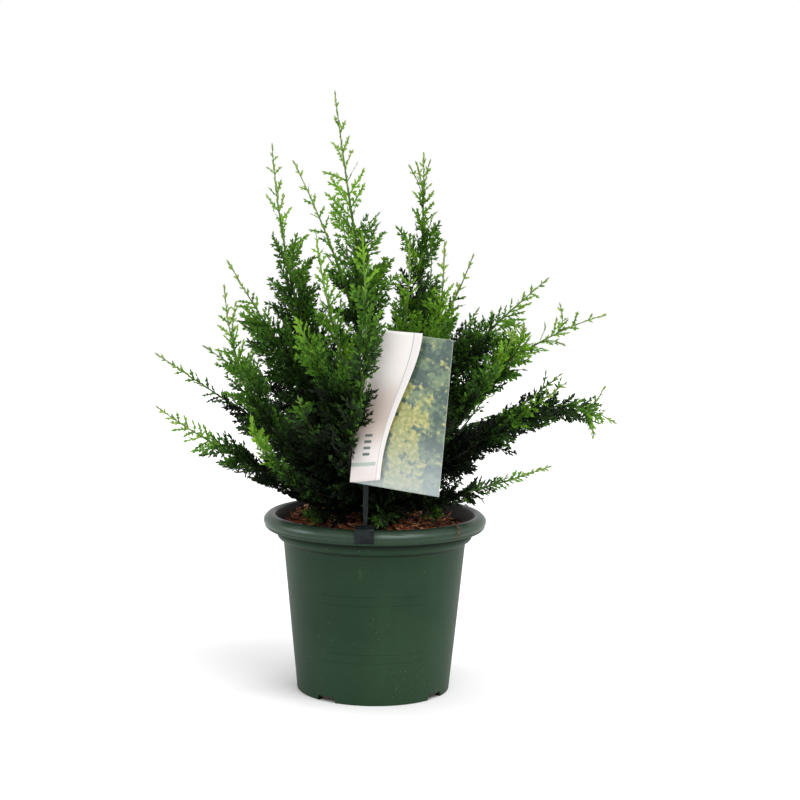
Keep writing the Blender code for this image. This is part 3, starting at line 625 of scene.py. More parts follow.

# each shoot leaves the trunk at foot, bends by elbow and ends at tip, in millimetres. spread is its
# half width, tone the brightness of its foliage from 0 to 6, which is its colour and its painted light
# and shade together, and opening how fast it widens from its tip. bare is the length of its open tip,
# tipGap the spacing there and close a factor on all spacing; over and under are factors on the sprays
# above and below; glow is how far down its lighter growth goes, lighter both in colour and in painted
# light; hold is how far from the tip it starts to widen, and clear the height kept free over the mulch.
# sway is how far a sine takes it off its bend, tipTone the tone of its very tip and stem what is added
# to the tone of the sprays pressed against it, in step with the painted light; lime growth stays
# yellow-green far down and never turns pale at the tip. A shoot has the usual value of whatever it
# doesn't give.
usual = dict(at=0, sway=(0, 0, 0), bare=45.0, tipGap=11.0, close=1.0, over=1.0, under=1.0, glow=90.0,
             hold=4.0, clear=12.0, tipTone=5.9, stem=1.0, lime=False)
shoots = {
    "leader": dict(foot=300, elbow=(-24, 0, 402), tip=(-38, -5, 507), spread=25, tone=5.7, opening=0.29,
                   bare=115, tipGap=17, glow=260),
    "left_leader": dict(foot=177, elbow=(-78, 24, 285), tip=(-92, 25, 464), spread=22, tone=5.0,
                        opening=0.31, bare=90, tipGap=16, glow=200),
    "slim_leader": dict(foot=232, elbow=(-12, -24, 333), tip=(-72, -12, 449), spread=18, tone=4.2,
                        opening=0.20, bare=95, tipGap=15, glow=180),
    "front_leader": dict(foot=209, elbow=(-40, -77, 311), tip=(-51, -45, 393), spread=16, tone=5.4,
                         opening=0.28, bare=60, tipGap=10, glow=200, lime=True),
    "front_left_plume": dict(foot=168, elbow=(-30, -101, 266), tip=(-67, -70, 323), spread=18, tone=4.9,
                             opening=0.50, bare=20, tipGap=6, glow=85, close=0.7, lime=True),
    "left_upper": dict(foot=190, elbow=(-72, 7, 268), tip=(-128, 5, 365), spread=28, tone=4.2, opening=0.58,
                       bare=52, tipGap=9, glow=180, over=0.7, hold=26),
    "left_front_upper": dict(foot=162, elbow=(-118, -59, 217), tip=(-126, -35, 346), spread=20, tone=4.4,
                             opening=0.27, bare=62, tipGap=11, glow=210),
    "left_back_wisp": dict(foot=200, elbow=(-100, 46, 254), tip=(-153, 45, 289), spread=15, tone=2.0,
                           opening=0.25, bare=40, tipGap=11, glow=90),
    "left_long": dict(foot=166, elbow=(-97, 18, 222), tip=(-191, 20, 284), spread=18, tone=2.4,
                      opening=0.17, bare=65, tipGap=10, glow=90),
    "left_low": dict(foot=154, elbow=(-107, -22, 186), tip=(-187, -5, 241), spread=20, tone=4.2,
                     opening=0.46, bare=62, tipGap=8.5, glow=160, over=0.7, under=0.9, close=0.85),
    "front_left_low": dict(foot=156, elbow=(-86, -92, 180), tip=(-101, -72, 243), spread=11, tone=5.4,
                           opening=0.5, bare=10, tipGap=4.5, glow=95, under=0.7, close=0.6, lime=True),
    "front_left_inner": dict(foot=186, elbow=(-45, -54, 193), tip=(-63, -72, 259), spread=18, tone=3.4,
                             opening=0.80, bare=14, tipGap=6, glow=60),
    "front_plume": dict(foot=160, elbow=(-26, -151, 200), tip=(-12, -98, 392), spread=15, tone=4.3,
                        opening=0.36, sway=(-9, 0, 0), bare=50, tipGap=8, glow=125, stem=2.6, lime=True),
    "front_low": dict(foot=151, elbow=(12, -52, 182), tip=(3, -76, 151), spread=20, tone=2.4, opening=1.1,
                      bare=8, tipGap=4, glow=40, tipTone=2.2, close=0.6),
    "front_inner": dict(foot=182, elbow=(30, -60, 230), tip=(42, -62, 300), spread=20, tone=3.6,
                        opening=0.50, bare=22, tipGap=8, glow=80),
    "right_leader": dict(foot=216, elbow=(41, 10, 251), tip=(37, 15, 458), spread=22, tone=5.0,
                         opening=0.36, bare=70, tipGap=11, glow=190, close=0.9),
    "right_front_slim": dict(foot=222, elbow=(27, -43, 262), tip=(26, -30, 384), spread=16, tone=5.3,
                             opening=0.28, bare=50, tipGap=12, glow=190),
    "right_front_upper": dict(foot=192, elbow=(55, -28, 240), tip=(55, -25, 384), spread=18, tone=5.3,
                              opening=0.30, bare=50, tipGap=12, glow=200),
    "right_slim": dict(foot=240, elbow=(50, -8, 288), tip=(80, -13, 374), spread=13, tone=4.4, opening=0.22,
                       bare=60, tipGap=13, glow=140),
    "right_back_wisp": dict(foot=206, elbow=(46, 34, 258), tip=(88, 45, 326), spread=16, tone=1.4,
                            opening=0.34, bare=25, tipGap=8.5, glow=70),
    "right_upper": dict(foot=201, elbow=(68, 0, 288), tip=(144, 0, 354), spread=22, tone=4.6, opening=0.36,
                        bare=50, tipGap=10, glow=130, over=0.8),
    "right_front_mid": dict(foot=178, elbow=(86, -44, 234), tip=(117, -32, 318), spread=18, tone=5.0,
                            opening=0.46, bare=28, tipGap=9, glow=120, under=0.35),
    "right_long": dict(foot=184, elbow=(112, -20, 304), tip=(192, -12, 324), spread=22, tone=5.0,
                       opening=0.33, bare=80, tipGap=17, glow=160, under=0.8),
    "right_low": dict(foot=166, elbow=(118, -8, 258), tip=(204, -5, 231), spread=20, tone=3.4, opening=0.46,
                      bare=36, tipGap=9, glow=100, sway=(0, 0, -9), over=0.7),
    "right_back_low": dict(foot=174, elbow=(104, 23, 222), tip=(159, 18, 272), spread=16, tone=1.2,
                           opening=0.32, bare=25, tipGap=9, glow=60, over=0.6),
    "right_lowest": dict(foot=153, elbow=(75, -33, 171), tip=(149, -14, 196), spread=12, tone=3.2,
                         opening=0.16, bare=60, tipGap=4.5, glow=110, close=0.6),
    "back_leader": dict(foot=224, elbow=(-15, 70, 270), tip=(-10, 62, 372), spread=22, tone=3.8,
                        opening=0.36, glow=150),
    "back_right_upper": dict(foot=212, elbow=(45, 75, 255), tip=(46, 74, 370), spread=22, tone=4.4,
                             opening=0.36, glow=150),
    "back_left_upper": dict(foot=210, elbow=(-60, 75, 250), tip=(-82, 72, 345), spread=22, tone=3.4,
                            opening=0.36, glow=130),
    "back_middle_upper": dict(foot=190, elbow=(5, 95, 240), tip=(14, 118, 318), spread=22, tone=4.8,
                              opening=0.42, glow=150),
    "back_left_low": dict(foot=172, elbow=(-75, 70, 195), tip=(-128, 98, 258), spread=23, tone=4.0,
                          opening=0.42, glow=110),
    "back_middle_low": dict(foot=165, elbow=(-5, 100, 185), tip=(-18, 152, 262), spread=23, tone=3.8,
                            opening=0.42, glow=110),
    "back_right_low": dict(foot=164, elbow=(75, 75, 195), tip=(108, 118, 262), spread=23, tone=4.6,
                           opening=0.42, glow=120),
    "back_right_mid": dict(foot=192, elbow=(75, 50, 240), tip=(132, 72, 292), spread=18, tone=3.4,
                           opening=0.32, glow=110, close=1.4),
    "back_left_lowest": dict(foot=153, elbow=(-50, 50, 168), tip=(-96, 60, 196), spread=18, tone=3.0,
                             opening=0.36, glow=80, under=0.6),
}

# forks leave the shoot that is named at a share of its length and end at their own tip. The last two are
# sprigs that droop to the mulch.
forks = {
    "right_low": [
        dict(at=0.42, tip=(158, -40, 270), spread=13, tone=5.4, opening=0.24, bare=40, tipGap=9, glow=130),
        dict(at=0.84, tip=(193, -6, 264), spread=10, tone=3.8, opening=0.28, bare=30, tipGap=8, glow=60),
        dict(at=0.84, tip=(184, -6, 218), spread=14, tone=4.2, opening=0.6, bare=16, tipGap=5, glow=60),
        dict(at=0.60, tip=(144, 8, 275), spread=8, tone=1.4, opening=0.16, bare=25, tipGap=9, glow=40,
             tipTone=3.0),
        dict(at=0.66, tip=(157, 6, 270), spread=8, tone=1.4, opening=0.14, bare=25, tipGap=10, glow=40,
             tipTone=3.0),
    ],
    "right_leader": [
        dict(at=0.80, tip=(24, 12, 447), spread=7, tone=4.0, opening=0.16, bare=30, tipGap=11, glow=60),
        dict(at=0.82, tip=(30, 8, 450), spread=7, tone=4.0, opening=0.14, bare=30, tipGap=12, glow=60),
        dict(at=0.84, tip=(43, 14, 452), spread=7, tone=4.0, opening=0.14, bare=30, tipGap=12, glow=60),
    ],
    "left_front_upper": [
        dict(at=0.72, tip=(-116, -40, 333), spread=9, tone=4.6, opening=0.24, bare=40, tipGap=9, glow=80),
    ],
    "right_long": [
        dict(at=0.60, tip=(122, -26, 318), spread=11, tone=5.8, opening=0.60, bare=16, tipGap=4, glow=80,
             close=0.8),
        dict(at=0.80, tip=(152, -14, 334), spread=8, tone=4.4, opening=0.26, bare=26, tipGap=7, glow=60),
        dict(at=0.74, tip=(158, -16, 298), spread=9, tone=4.4, opening=0.32, bare=26, tipGap=8, glow=60),
    ],
    "front_left_low": [
        dict(at=0.2, elbow=(-52, -42, 148), tip=(-61, -42, 160), spread=9, tone=2.6, opening=0.7, bare=6,
             tipGap=3, glow=40, tipTone=2.3, close=0.7, clear=0.0),
    ],
    "right_lowest": [
        dict(at=0.28, elbow=(50, -34, 150), tip=(57, -44, 159), spread=8, tone=3.6, opening=0.6, bare=6,
             tipGap=3, glow=40, tipTone=3.6, close=0.8, clear=0.0),
    ],
}
shoots = {name: {**usual, **shoot} for name, shoot in shoots.items()}
branches = [{**usual, "parent": name, **fork} for name, group in forks.items() for fork in group]

limb = dict(radius=2.4, tipRadius=0.36, taper=1.35, sides=8, ringStep=2.5, relief=0.10)


def trunkMiddle(height):
    # the trunk's middle line at a height, which leans evenly from its foot to its top
    share = (height - trunk["foot"]) / (trunk["top"] - trunk["foot"])
    return np.stack([trunk["lean"][0] * share, trunk["lean"][1] * share, height], -1)


def shootPath(shoot, count=161):
    # a quadratic bend from foot to tip, plus one turn of a sine for sway, at even steps of length. A fork
    # starts along the shoot that bears it.
    elbow, tip, sway = (np.array(shoot.get(key, (0, 0, 0)), float) for key in ("elbow", "tip", "sway"))
    if "parent" in shoot:
        stem = shootPath(shoots[shoot["parent"]])[0]
        at = round(shoot["at"] * (len(stem) - 1))
        foot = stem[at]
        if "elbow" not in shoot:
            elbow = foot + normalise(stem[at] - stem[at - 1]) * 0.5 * np.linalg.norm(tip - foot)
    else:
        foot = trunkMiddle(np.float64(shoot["foot"]))
    t = np.linspace(0, 1, 600)[:, None]
    rough = foot * (1 - t) ** 2 + elbow * 2 * t * (1 - t) + tip * t ** 2 + sway * np.sin(math.tau * t)
    along = np.concatenate([[0], np.cumsum(np.linalg.norm(np.diff(rough, axis=0), axis=1))])
    even = np.linspace(0, along[-1], count)
    path = np.stack([np.interp(even, along, rough[:, k]) for k in range(3)], -1)
    return path, along[-1]


def makeTrunk():
    # a tube with a root flare and a slow lean; noise that is long up the stem makes its fibrous ridges
    height = np.linspace(trunk["foot"], trunk["top"], trunk["rings"])
    share = (height - height[0]) / (height[-1] - height[0])
    radius = trunk["radius"] + (trunk["tipRadius"] - trunk["radius"]) * share
    radius = radius + trunk["flare"] * np.exp(-3 * (height - height[0]) / trunk["flareHeight"])
    points, faces = carried(trunkMiddle(height), np.array([1.0, 0, 0]), circle(trunk["sides"]), radius)
    middle = trunkMiddle(points[:, 2])
    out = normalise((points - middle) * [1, 1, 0])
    ridges = latticeNoise(np.stack([out[:, 0] * 5, out[:, 1] * 5, points[:, 2] / 16], -1), 11)
    fine = latticeNoise(np.stack([out[:, 0] * 13, out[:, 1] * 13, points[:, 2] / 7], -1), 12)
    size = np.interp(points[:, 2], height, radius)
    relief = (np.abs(ridges) * -1.4 + 0.5 * fine) * trunk["relief"] * size / trunk["radius"]
    lobes = 0.9 * np.exp(-(points[:, 2] - height[0]) / 9) * np.cos(5 * np.arctan2(out[:, 1], out[:, 0]) + 1)
    points = points + out * (relief + lobes)[:, None]
    return makePiece("trunkBark", points * mm, faces, [trunkLook()])


def trunkLook():
    # thin red-brown bark in long strips, greyer where it has weathered
    look = Look("trunkBark", "#5b3a26", 0.85)
    strips = look.noise(260, 5, (1, 1, 0.12))
    weather = look.noise(40, 3)
    colour = look.mix(strips.above(0.38, 0.25), "#2b1a11", "#74482c")
    look.feed("Base Color", look.mix(weather.above(0.5, 0.2) * 0.45, colour, "#7d6a56"))
    look.bump(strips, 0.7, 0.001)
    return look.material


def limbLook():
    # bark brown at the foot of a limb, olive further out and yellow-green on the young growth
    look = Look("limbBark", "#5b3a26", 0.7)
    age = look.node("ShaderNodeAttribute", {"attribute_name": "outward"}, out=2)
    stops = {"stops": [(0.0, "#1a120b"), (0.08, "#22200f"), (0.24, "#25380f"), (0.50, "#3c5f18"),
                       (0.78, "#678040"), (1.0, "#6f9a1c")]}
    colour = look.node("ShaderNodeValToRGB", stops, {0: age})
    grain = look.noise(500, 3)
    look.feed("Base Color", look.mix(grain.above(0.45, 0.3) * 0.35, colour, "#2c2012"))
    look.bump(grain, 0.4, 0.0006)
    return look.material


def makeLimbs():
    # each shoot and fork is a rippled tube that tapers by a power of the share left to its tip; outward
    # marks how green its bark is
    parts, outward = [], []
    for shoot in [*shoots.values(), *branches]:
        path, length = shootPath(shoot, 1 + max(24, round(shootPath(shoot)[1] / limb["ringStep"])))
        share = np.linspace(0, 1, len(path))
        start = limb["radius"] * (0.72 + 0.28 * min(length / 200, 1)) * (1 - shoot["at"]) ** 1.2
        if shoot is shoots["leader"]:
            start = trunk["tipRadius"]
        radius = limb["tipRadius"] + (start - limb["tipRadius"]) * (1 - share) ** limb["taper"]
        places = np.stack([share * length / 6, share * 0, share * 0], -1)
        ripple = 1 + limb["relief"] * latticeNoise(places, 21)
        parts.append(carried(path, np.array([0.31, 0.9, 0.2]), circle(limb["sides"]), radius * ripple))
        reach, most = (4, 1.0) if shoot["lime"] else (2.6, 0.78)
        green = most * np.clip(1 - (1 - share) * length / (shoot["bare"] * reach), 0, 1)
        outward.append(np.concatenate([np.repeat(green, limb["sides"]), green[[0, -1]]]))
    points, faces = joined(parts)
    marks = {"outward": np.concatenate(outward)}
    piece = makePiece("limbs", points * mm, faces, [limbLook()], marks=marks)
    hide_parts(*[node for node in frame["nodes"] if node.startswith("bough_")])
    return piece


trunkBark = makeTrunk()
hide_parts("trunk")
limbs = makeLimbs()
print("trunk and limbs made")


# label and its holder

card = dict(foldFoot=(-18.4, -84.2, 190.5), width=77.0, height=125.0, yaw=-24.0, lean=4.6, thick=0.55,
            flapOpen=5.0, flapTop=54.0, flapFoot=27.0, flapLate=1.22, flapLift=(6.5, 3.0), flapBow=1.6,
            flapCurl=2.2, backBow=1.3, foldRadius=0.7)

# what is printed, and the band of painted shadow across the flap, in shares of the flap's width and height
printed = dict(paintedShadow=(0.16, 0.48), edge=0.855, edgeLine=0.87, band=(0.10, 0.125), bandEnd=0.8,
               column=(0.34, 0.56), bars=4, barFoot=0.17, barStep=0.042, barHeight=0.018)


def cardFrame():
    # the card's own frame: at the foot of its fold, turned about Z and then leant about its own Y
    yaw = Matrix.Rotation(math.radians(card["yaw"]), 4, "Z")
    lean = Matrix.Rotation(math.radians(card["lean"]), 4, "Y")
    return np.array(Matrix.Translation(card["foldFoot"]) @ (yaw @ lean))


def toCard(points):
    # places in the card's own frame: along its foot, behind it, and up its fold
    return (points - cardFrame()[:3, 3]) @ cardFrame()[:3, :3]


def flapEdge(rise):
    # an S curve: upright at the foot and the top, and it slants most a little above the middle
    late = rise ** card["flapLate"]
    return card["flapFoot"] + (card["flapTop"] - card["flapFoot"]) * (3 - 2 * late) * late ** 2


def makeCard():
    # one sheet: in from the back leaf's free edge, round the fold, and out to the flap's curved edge
    c = card
    rows, backColumns, foldColumns, flapColumns = 50, 36, 8, 26
    rise = np.linspace(0, 1, rows)[:, None]
    height = rise * c["height"]
    back = np.linspace(1, 0, backColumns)[None] * np.ones_like(rise)
    backOut = back * c["width"]
    backDeep = -c["backBow"] * np.sin(math.pi * back) * (0.4 + 0.6 * rise)
    turn = np.linspace(0, math.pi, foldColumns + 2)[None, 1:-1] * np.ones_like(rise)
    foldOut = -c["foldRadius"] * np.sin(turn)
    foldDeep = -c["foldRadius"] * (1 - np.cos(turn))
    flap = np.linspace(0, 1, flapColumns)[None] * np.ones_like(rise)
    flapOut = flap * flapEdge(rise)
    opened = math.tan(math.radians(c["flapOpen"]))
    curl = c["flapCurl"] * flap ** 3 * (0.3 + 0.7 * rise)
    flapDeep = -2 * c["foldRadius"] - flapOut * opened - c["flapBow"] * np.sin(math.pi * flap) - curl
    out = np.concatenate([backOut, foldOut, flapOut], 1)
    deep = np.concatenate([backDeep, foldDeep, flapDeep], 1)
    # the flap's free edge sits a little higher than its fold
    lift = c["flapLift"][0] + (c["flapLift"][1] - c["flapLift"][0]) * rise
    up = np.broadcast_to(height, out.shape)
    raised = np.concatenate([up[:, :backColumns + foldColumns], height + flap * lift], 1)
    local = np.stack([out, deep, raised], -1).reshape(-1, 3)
    points = local @ cardFrame()[:3, :3].T + cardFrame()[:3, 3]
    columns = out.shape[1]
    column = np.tile(np.arange(columns - 1), rows - 1)
    slots = np.where(column < backColumns - 1, 0, 1)
    flapShare = np.concatenate([backOut / c["width"], foldOut * 0, flap], 1)
    uv = np.stack([flapShare, up / c["height"]], -1).reshape(-1, 2)
    faces = gridFaces(rows, columns)
    looks = [plainCardLook(), creamLook(), pictureLook(), plainCardLook()]
    piece = makePiece("label", points * mm, [faces], looks, slots, uv=uv)
    wall = piece.modifiers.new("thickness", "SOLIDIFY")
    wall.thickness, wall.offset = c["thick"] * mm, 0
    wall.material_offset = 2
    return piece


def pictureLook():
    # a soft generic print: slate green with drifting blotches, yellow ones in its middle, and a grey-blue
    # veil that thickens towards its foot
    look = Look("printedPicture", "#4f6a58", 0.22, Coat_Weight=0.4, Coat_Roughness=0.12)
    here = look.node("ShaderNodeTexCoord", out=2)
    where = look.node("ShaderNodeMapping", None, {"Vector": here, "Scale": (1.0, 1.62, 1.0)})
    across, rise = look.part(here, 0), look.part(here, 1)
    drift, fine = look.noise(4.6, 4, where=where), look.noise(22, 5, where=where)
    colour = look.mix((drift * 0.6 + fine * 0.4).above(0.42, 0.18), "#3f5550", "#75896a")
    middle = across.between(0.25, 0.62, 0.2, 0.25) * (1 - rise.above(0.5, 0.3))
    yellow = (look.noise(7, 5, where=where) * 0.7 + fine * 0.3 + middle * 0.16).above(0.55, 0.08)
    colour = look.mix(yellow * 0.85, colour, look.mix(fine.above(0.4, 0.3), "#9aa05a", "#c9c07e"))
    veil = 1 - rise.above(-0.1, 0.6)
    look.feed("Base Color", look.mix(veil * 0.72, colour, "#b6c0c3"))
    return look.material


def creamLook():
    # cream card, a little darker towards its foot, with a soft beige band of painted shadow across its
    # lower middle, a fine line that follows its curved edge, a pale green band near its foot and a column
    # of short plain bars
    p = printed
    look = Look("creamCard", "#efe8e1", 0.3, Coat_Weight=0.25, Coat_Roughness=0.2)
    here = look.node("ShaderNodeTexCoord", out=2)
    across, rise = look.part(here, 0), look.part(here, 1)
    # painted shadow: a beige band across the flap, as if cast by the foliage
    paintedShadow = rise.between(*p["paintedShadow"], 0.2, 0.3)
    colour = look.mix(1 - rise.above(-0.05, 0.4), "#eee8e5", "#ddd4d0")
    colour = look.mix(paintedShadow * 0.9, colour, "#c6b5a9")
    edge = across.above(p["edge"], 0.008)
    colour = look.mix(edge, colour, "#e7e1df")
    colour = look.mix(edge * (1 - across.above(p["edgeLine"], 0.008)) * 0.7, colour, "#8d98a0")
    band = rise.between(*p["band"], 0.004) * (1 - across.above(p["bandEnd"], 0.01))
    colour = look.mix(band * 0.8, colour, "#9db5a4")
    column = across.between(*p["column"], 0.01)
    for step in range(p["bars"]):
        low = p["barFoot"] + p["barStep"] * step
        bar = rise.between(low, low + p["barHeight"], 0.004)
        colour = look.mix(column * bar * 0.9, colour, "#3f5d58")
    look.feed("Base Color", colour)
    return look.material


def plainCardLook():
    # the unprinted side and the cut edges of the card
    look = Look("plainCard", "#e6e2dc", 0.45)
    look.feed("Base Color", look.mix(look.noise(30, 3).above(0.4, 0.3), "#dedad3", "#ece9e4"))
    return look.material


holder = dict(front=-95.3, top=152.5, wall=1.9, width=15.8, middle=-7.3, inner=-79.0, drop=12.2,
              legDrop=8.5, bend=1.6, stripTop=228.0, stripWidth=4.2, stripFoot=2.4, stripThick=1.4,
              stripGap=0.8, stripRings=24)


def makeHolder():
    # a flat section carried over the rim for the clip, and another up behind the card for the strip
    h = holder
    half, rings = h["wall"] / 2, h["stripRings"]
    outside, inside, top = h["front"] - half, h["inner"] + half, h["top"] + half
    corners = np.array([[outside, h["top"] - h["drop"] + h["wall"], 0], [outside, top, h["bend"]],
                        [inside, top, h["bend"]], [inside, h["top"] - h["legDrop"] + h["wall"], 0]])
    bent = filleted(corners, 7)
    path = np.stack([np.full(len(bent), h["middle"]), bent[:, 0], bent[:, 1]], -1)
    clip = carried(path, np.array([1.0, 0, 0]), roundedRectangle(h["width"], h["wall"], 0.45))
    yaw = math.radians(card["yaw"])
    alongCard = (h["middle"] - card["foldFoot"][0]) / math.cos(yaw)
    behind = card["thick"] / 2 + h["stripGap"] + h["stripThick"] / 2
    foot = cardFrame()[:3, :3] @ np.array([alongCard, behind, 0]) + cardFrame()[:3, 3]
    height = np.linspace(h["top"] + 0.4, h["stripTop"], rings)
    strip = np.stack([np.full(rings, foot[0]), np.full(rings, foot[1]), height], -1)
    grow = np.clip((height - height[0]) / 14, 0, 1)
    wide = h["stripFoot"] + (h["stripWidth"] - h["stripFoot"]) * grow
    section = np.stack([roundedRectangle(w, h["stripThick"], 0.4) for w in wide])
    direction = np.array([math.cos(yaw), math.sin(yaw), 0])
    points, faces = joined([clip, carried(strip, direction, section)])
    look = Look("holderPlastic", "#15191a", 0.38, Specular_IOR_Level=0.12)
    grain = look.noise(160, 4)
    look.feed("Base Color", look.mix(grain.above(0.4, 0.3), "#121717", "#1d2525"))
    look.bump(grain, 0.1, 0.0005)
    return makePiece("labelClip", points * mm, faces, [look.material])


label = makeCard()
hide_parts("label_card")
labelClip = makeHolder()
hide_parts("label_holder")
print("label made")


# foliage: flat sprays of scale leaves

leaf = dict(width=1.8, tipLength=4.2, branchGap=2.9, twigGap=2.6, branchAngle=44.0, twigAngle=40.0,
            overlap=1.35, longestShares=(0.38, 0.25), sizes=(3.2, 5.0, 7.5, 11.0, 15.0, 20.0, 27.0, 35.0),
            variants=5)

# the looks of leaves, from dark to light, the last one olive; the dark ones serve as painted shade as well
# as colour
leafTones = ["#070d05", "#101d09", "#1e3410", "#315417", "#48741b", "#5e8c20", "#74a128", "#8aa452"]

# a leaf's outline: how far along and to which side each of its points is, its two quads and its tip
ribbonRows = np.array([0, 0, 0.34, 0.34, 0.72, 0.72, 1.0])
ribbonSides = np.array([-0.38, 0.38, -0.5, 0.5, -0.33, 0.33, 0.0])
ribbonQuads = np.array([[0, 2, 3, 1], [2, 4, 5, 3]])
ribbonEnd = np.array([[4, 6, 5]])


def turnFlat(direction, degrees):
    # turns directions in the spray's plane
    a = math.radians(degrees)
    x = direction[0] * math.cos(a) - direction[1] * math.sin(a)
    y = direction[0] * math.sin(a) + direction[1] * math.cos(a)
    return np.array([x, y])


def sprayBits(length, longest):
    # an axis with branches left and right by turns, each with pointed twigs left and right by turns. The
    # branches are longest low down, a given share of the axis. Gives each bit's start, direction, length,
    # width and lightness.
    bits = []
    nodes = max(0, round((length - leaf["tipLength"]) / leaf["branchGap"]))
    place, heading = np.zeros(2), np.array([1.0, 0.0])
    side = rng.choice([-1, 1])
    swerve = rng.normal(0, 7)
    for i in range(nodes):
        gap = (length - leaf["tipLength"]) / nodes * rng.uniform(0.85, 1.15)
        heading = turnFlat(heading, swerve / nodes + rng.normal(0, 2))
        bits.append((place, heading, gap * leaf["overlap"], leaf["width"] * 0.95, -1))
        place = place + heading * gap
        along = (i + 1) / (nodes + 1)
        reach = length * longest * min(1, along / 0.14) ** 0.6 * (1 - 0.74 * max(0, along - 0.2) / 0.8)
        reach = max(2.6, reach * rng.uniform(0.75, 1.15))
        side = -side
        angle = leaf["branchAngle"] - 8 * along
        addBranch(bits, place, turnFlat(heading, side * (angle + rng.normal(0, 5))), reach, along)
        if rng.random() < longest * 1.4:
            second = turnFlat(heading, -side * (angle + rng.normal(0, 6)))
            addBranch(bits, place, second, reach * 0.6, along)
    bits.append((place, heading, leaf["tipLength"] * rng.uniform(0.9, 1.2), leaf["width"] * 0.95, 1))
    return bits


def addBranch(bits, place, heading, reach, along):
    # a branch of a spray, of even steps, each with a twig to one side by turns and at times a second one
    steps = max(0, round((reach - leaf["tipLength"]) / leaf["twigGap"]))
    side = rng.choice([-1, 1])
    for i in range(steps):
        gap = leaf["twigGap"] * rng.uniform(0.85, 1.15)
        shade = -1 if i < steps - 1 else 0
        bits.append((place, heading, gap * leaf["overlap"], leaf["width"] * 0.9, shade))
        place = place + heading * gap
        side = -side
        twig = turnFlat(heading, side * (leaf["twigAngle"] + rng.normal(0, 6)))
        bits.append((place, twig, leaf["tipLength"] * rng.uniform(0.65, 1.0), leaf["width"] * 0.85, 0))
        if rng.random() < 0.4:
            twig = turnFlat(heading, -side * (leaf["twigAngle"] + rng.normal(0, 6)))
            bits.append((place, twig, leaf["tipLength"] * rng.uniform(0.55, 0.8), leaf["width"] * 0.8, 0))
        heading = turnFlat(heading, rng.normal(0, 4))
    last = max(reach - steps * leaf["twigGap"], 2.6)
    bits.append((place, heading, last * rng.uniform(0.9, 1.1), leaf["width"], 1 if along > 0.35 else 0))


def sprayMesh(length, longest):
    # every bit becomes a pointed ribbon, widest a little before its middle, with its own twist and tilt;
    # the whole spray curls up towards its tip
    bits = sprayBits(length, longest)
    start, way = np.array([b[0] for b in bits]), np.array([b[1] for b in bits])
    long, wide = np.array([b[2] for b in bits])[:, None], np.array([b[3] for b in bits])[:, None]
    lightness = np.array([b[4] for b in bits])
    side = np.stack([-way[:, 1], way[:, 0]], -1)
    reach, across = ribbonRows * long, ribbonSides * wide
    flat = start[:, None] + way[:, None] * reach[..., None] + side[:, None] * across[..., None]
    twist, tilt = rng.normal(0, 0.28, (len(bits), 1)), rng.normal(0, 0.13, (len(bits), 1))
    z = across * twist + reach * tilt + rng.normal(0, 0.15, (len(bits), 1))
    z = z + 0.10 * length * (flat[..., 0] / length) ** 2 - 0.12 * np.abs(flat[..., 1])
    return np.concatenate([flat, z[..., None]], -1), lightness


sprays = [[[sprayMesh(size, longest) for _ in range(leaf["variants"])] for size in leaf["sizes"]]
          for longest in leaf["longestShares"]]


def fullness(share):
    # the plume swells soon after its foot and tapers to its tip
    return np.minimum(1, share / 0.06) ** 0.5 * (1.5 - 0.9 * share)


def rotated(v, axis, angle):
    # turns vectors about unit axes
    c, s = np.cos(angle)[:, None], np.sin(angle)[:, None]
    return v * c + np.cross(axis, v) * s + axis * (axis * v).sum(-1, keepdims=True) * (1 - c)


foliage = dict(footGap=2.7, firstShare=0.04, lean=44.0, leanWander=8.0, wander=0.30, footWander=2.4,
               tipBack=4.0, sleeveGap=1.8, sleeveLean=19.0, skyShare=0.4, smallest=2.6, largest=38,
               endSpray=4.4)


def spaced(first, last, gap):
    # stations from first to last whose gaps follow a function of the place
    stations = [first]
    while stations[-1] < last:
        stations.append(stations[-1] + gap(stations[-1]) * rng.uniform(0.8, 1.2))
    return np.array(stations[:-1])


def framesAt(path, length, fromTip, shoot):
    # the place and direction on a shoot's path, and the normal of the plane that its tip sprays lie in
    index = (1 - fromTip / length) * (len(path) - 1)
    steps = np.arange(len(path))
    base = np.stack([np.interp(index, steps, path[:, k]) for k in range(3)], -1)
    tangents = normalise(np.gradient(path, axis=0))
    way = normalise(np.stack([np.interp(index, steps, tangents[:, k]) for k in range(3)], -1))
    tip = np.array(shoot["tip"], float)
    face = np.array([0, -1.0, 0.15]) if tip[1] < 50 else np.array([tip[0] * 0.01, 1.0, 0.2])
    face = face + rng.normal(0, 0.22, 3)
    return base, way, normalise(face - way * (way @ face)[:, None])


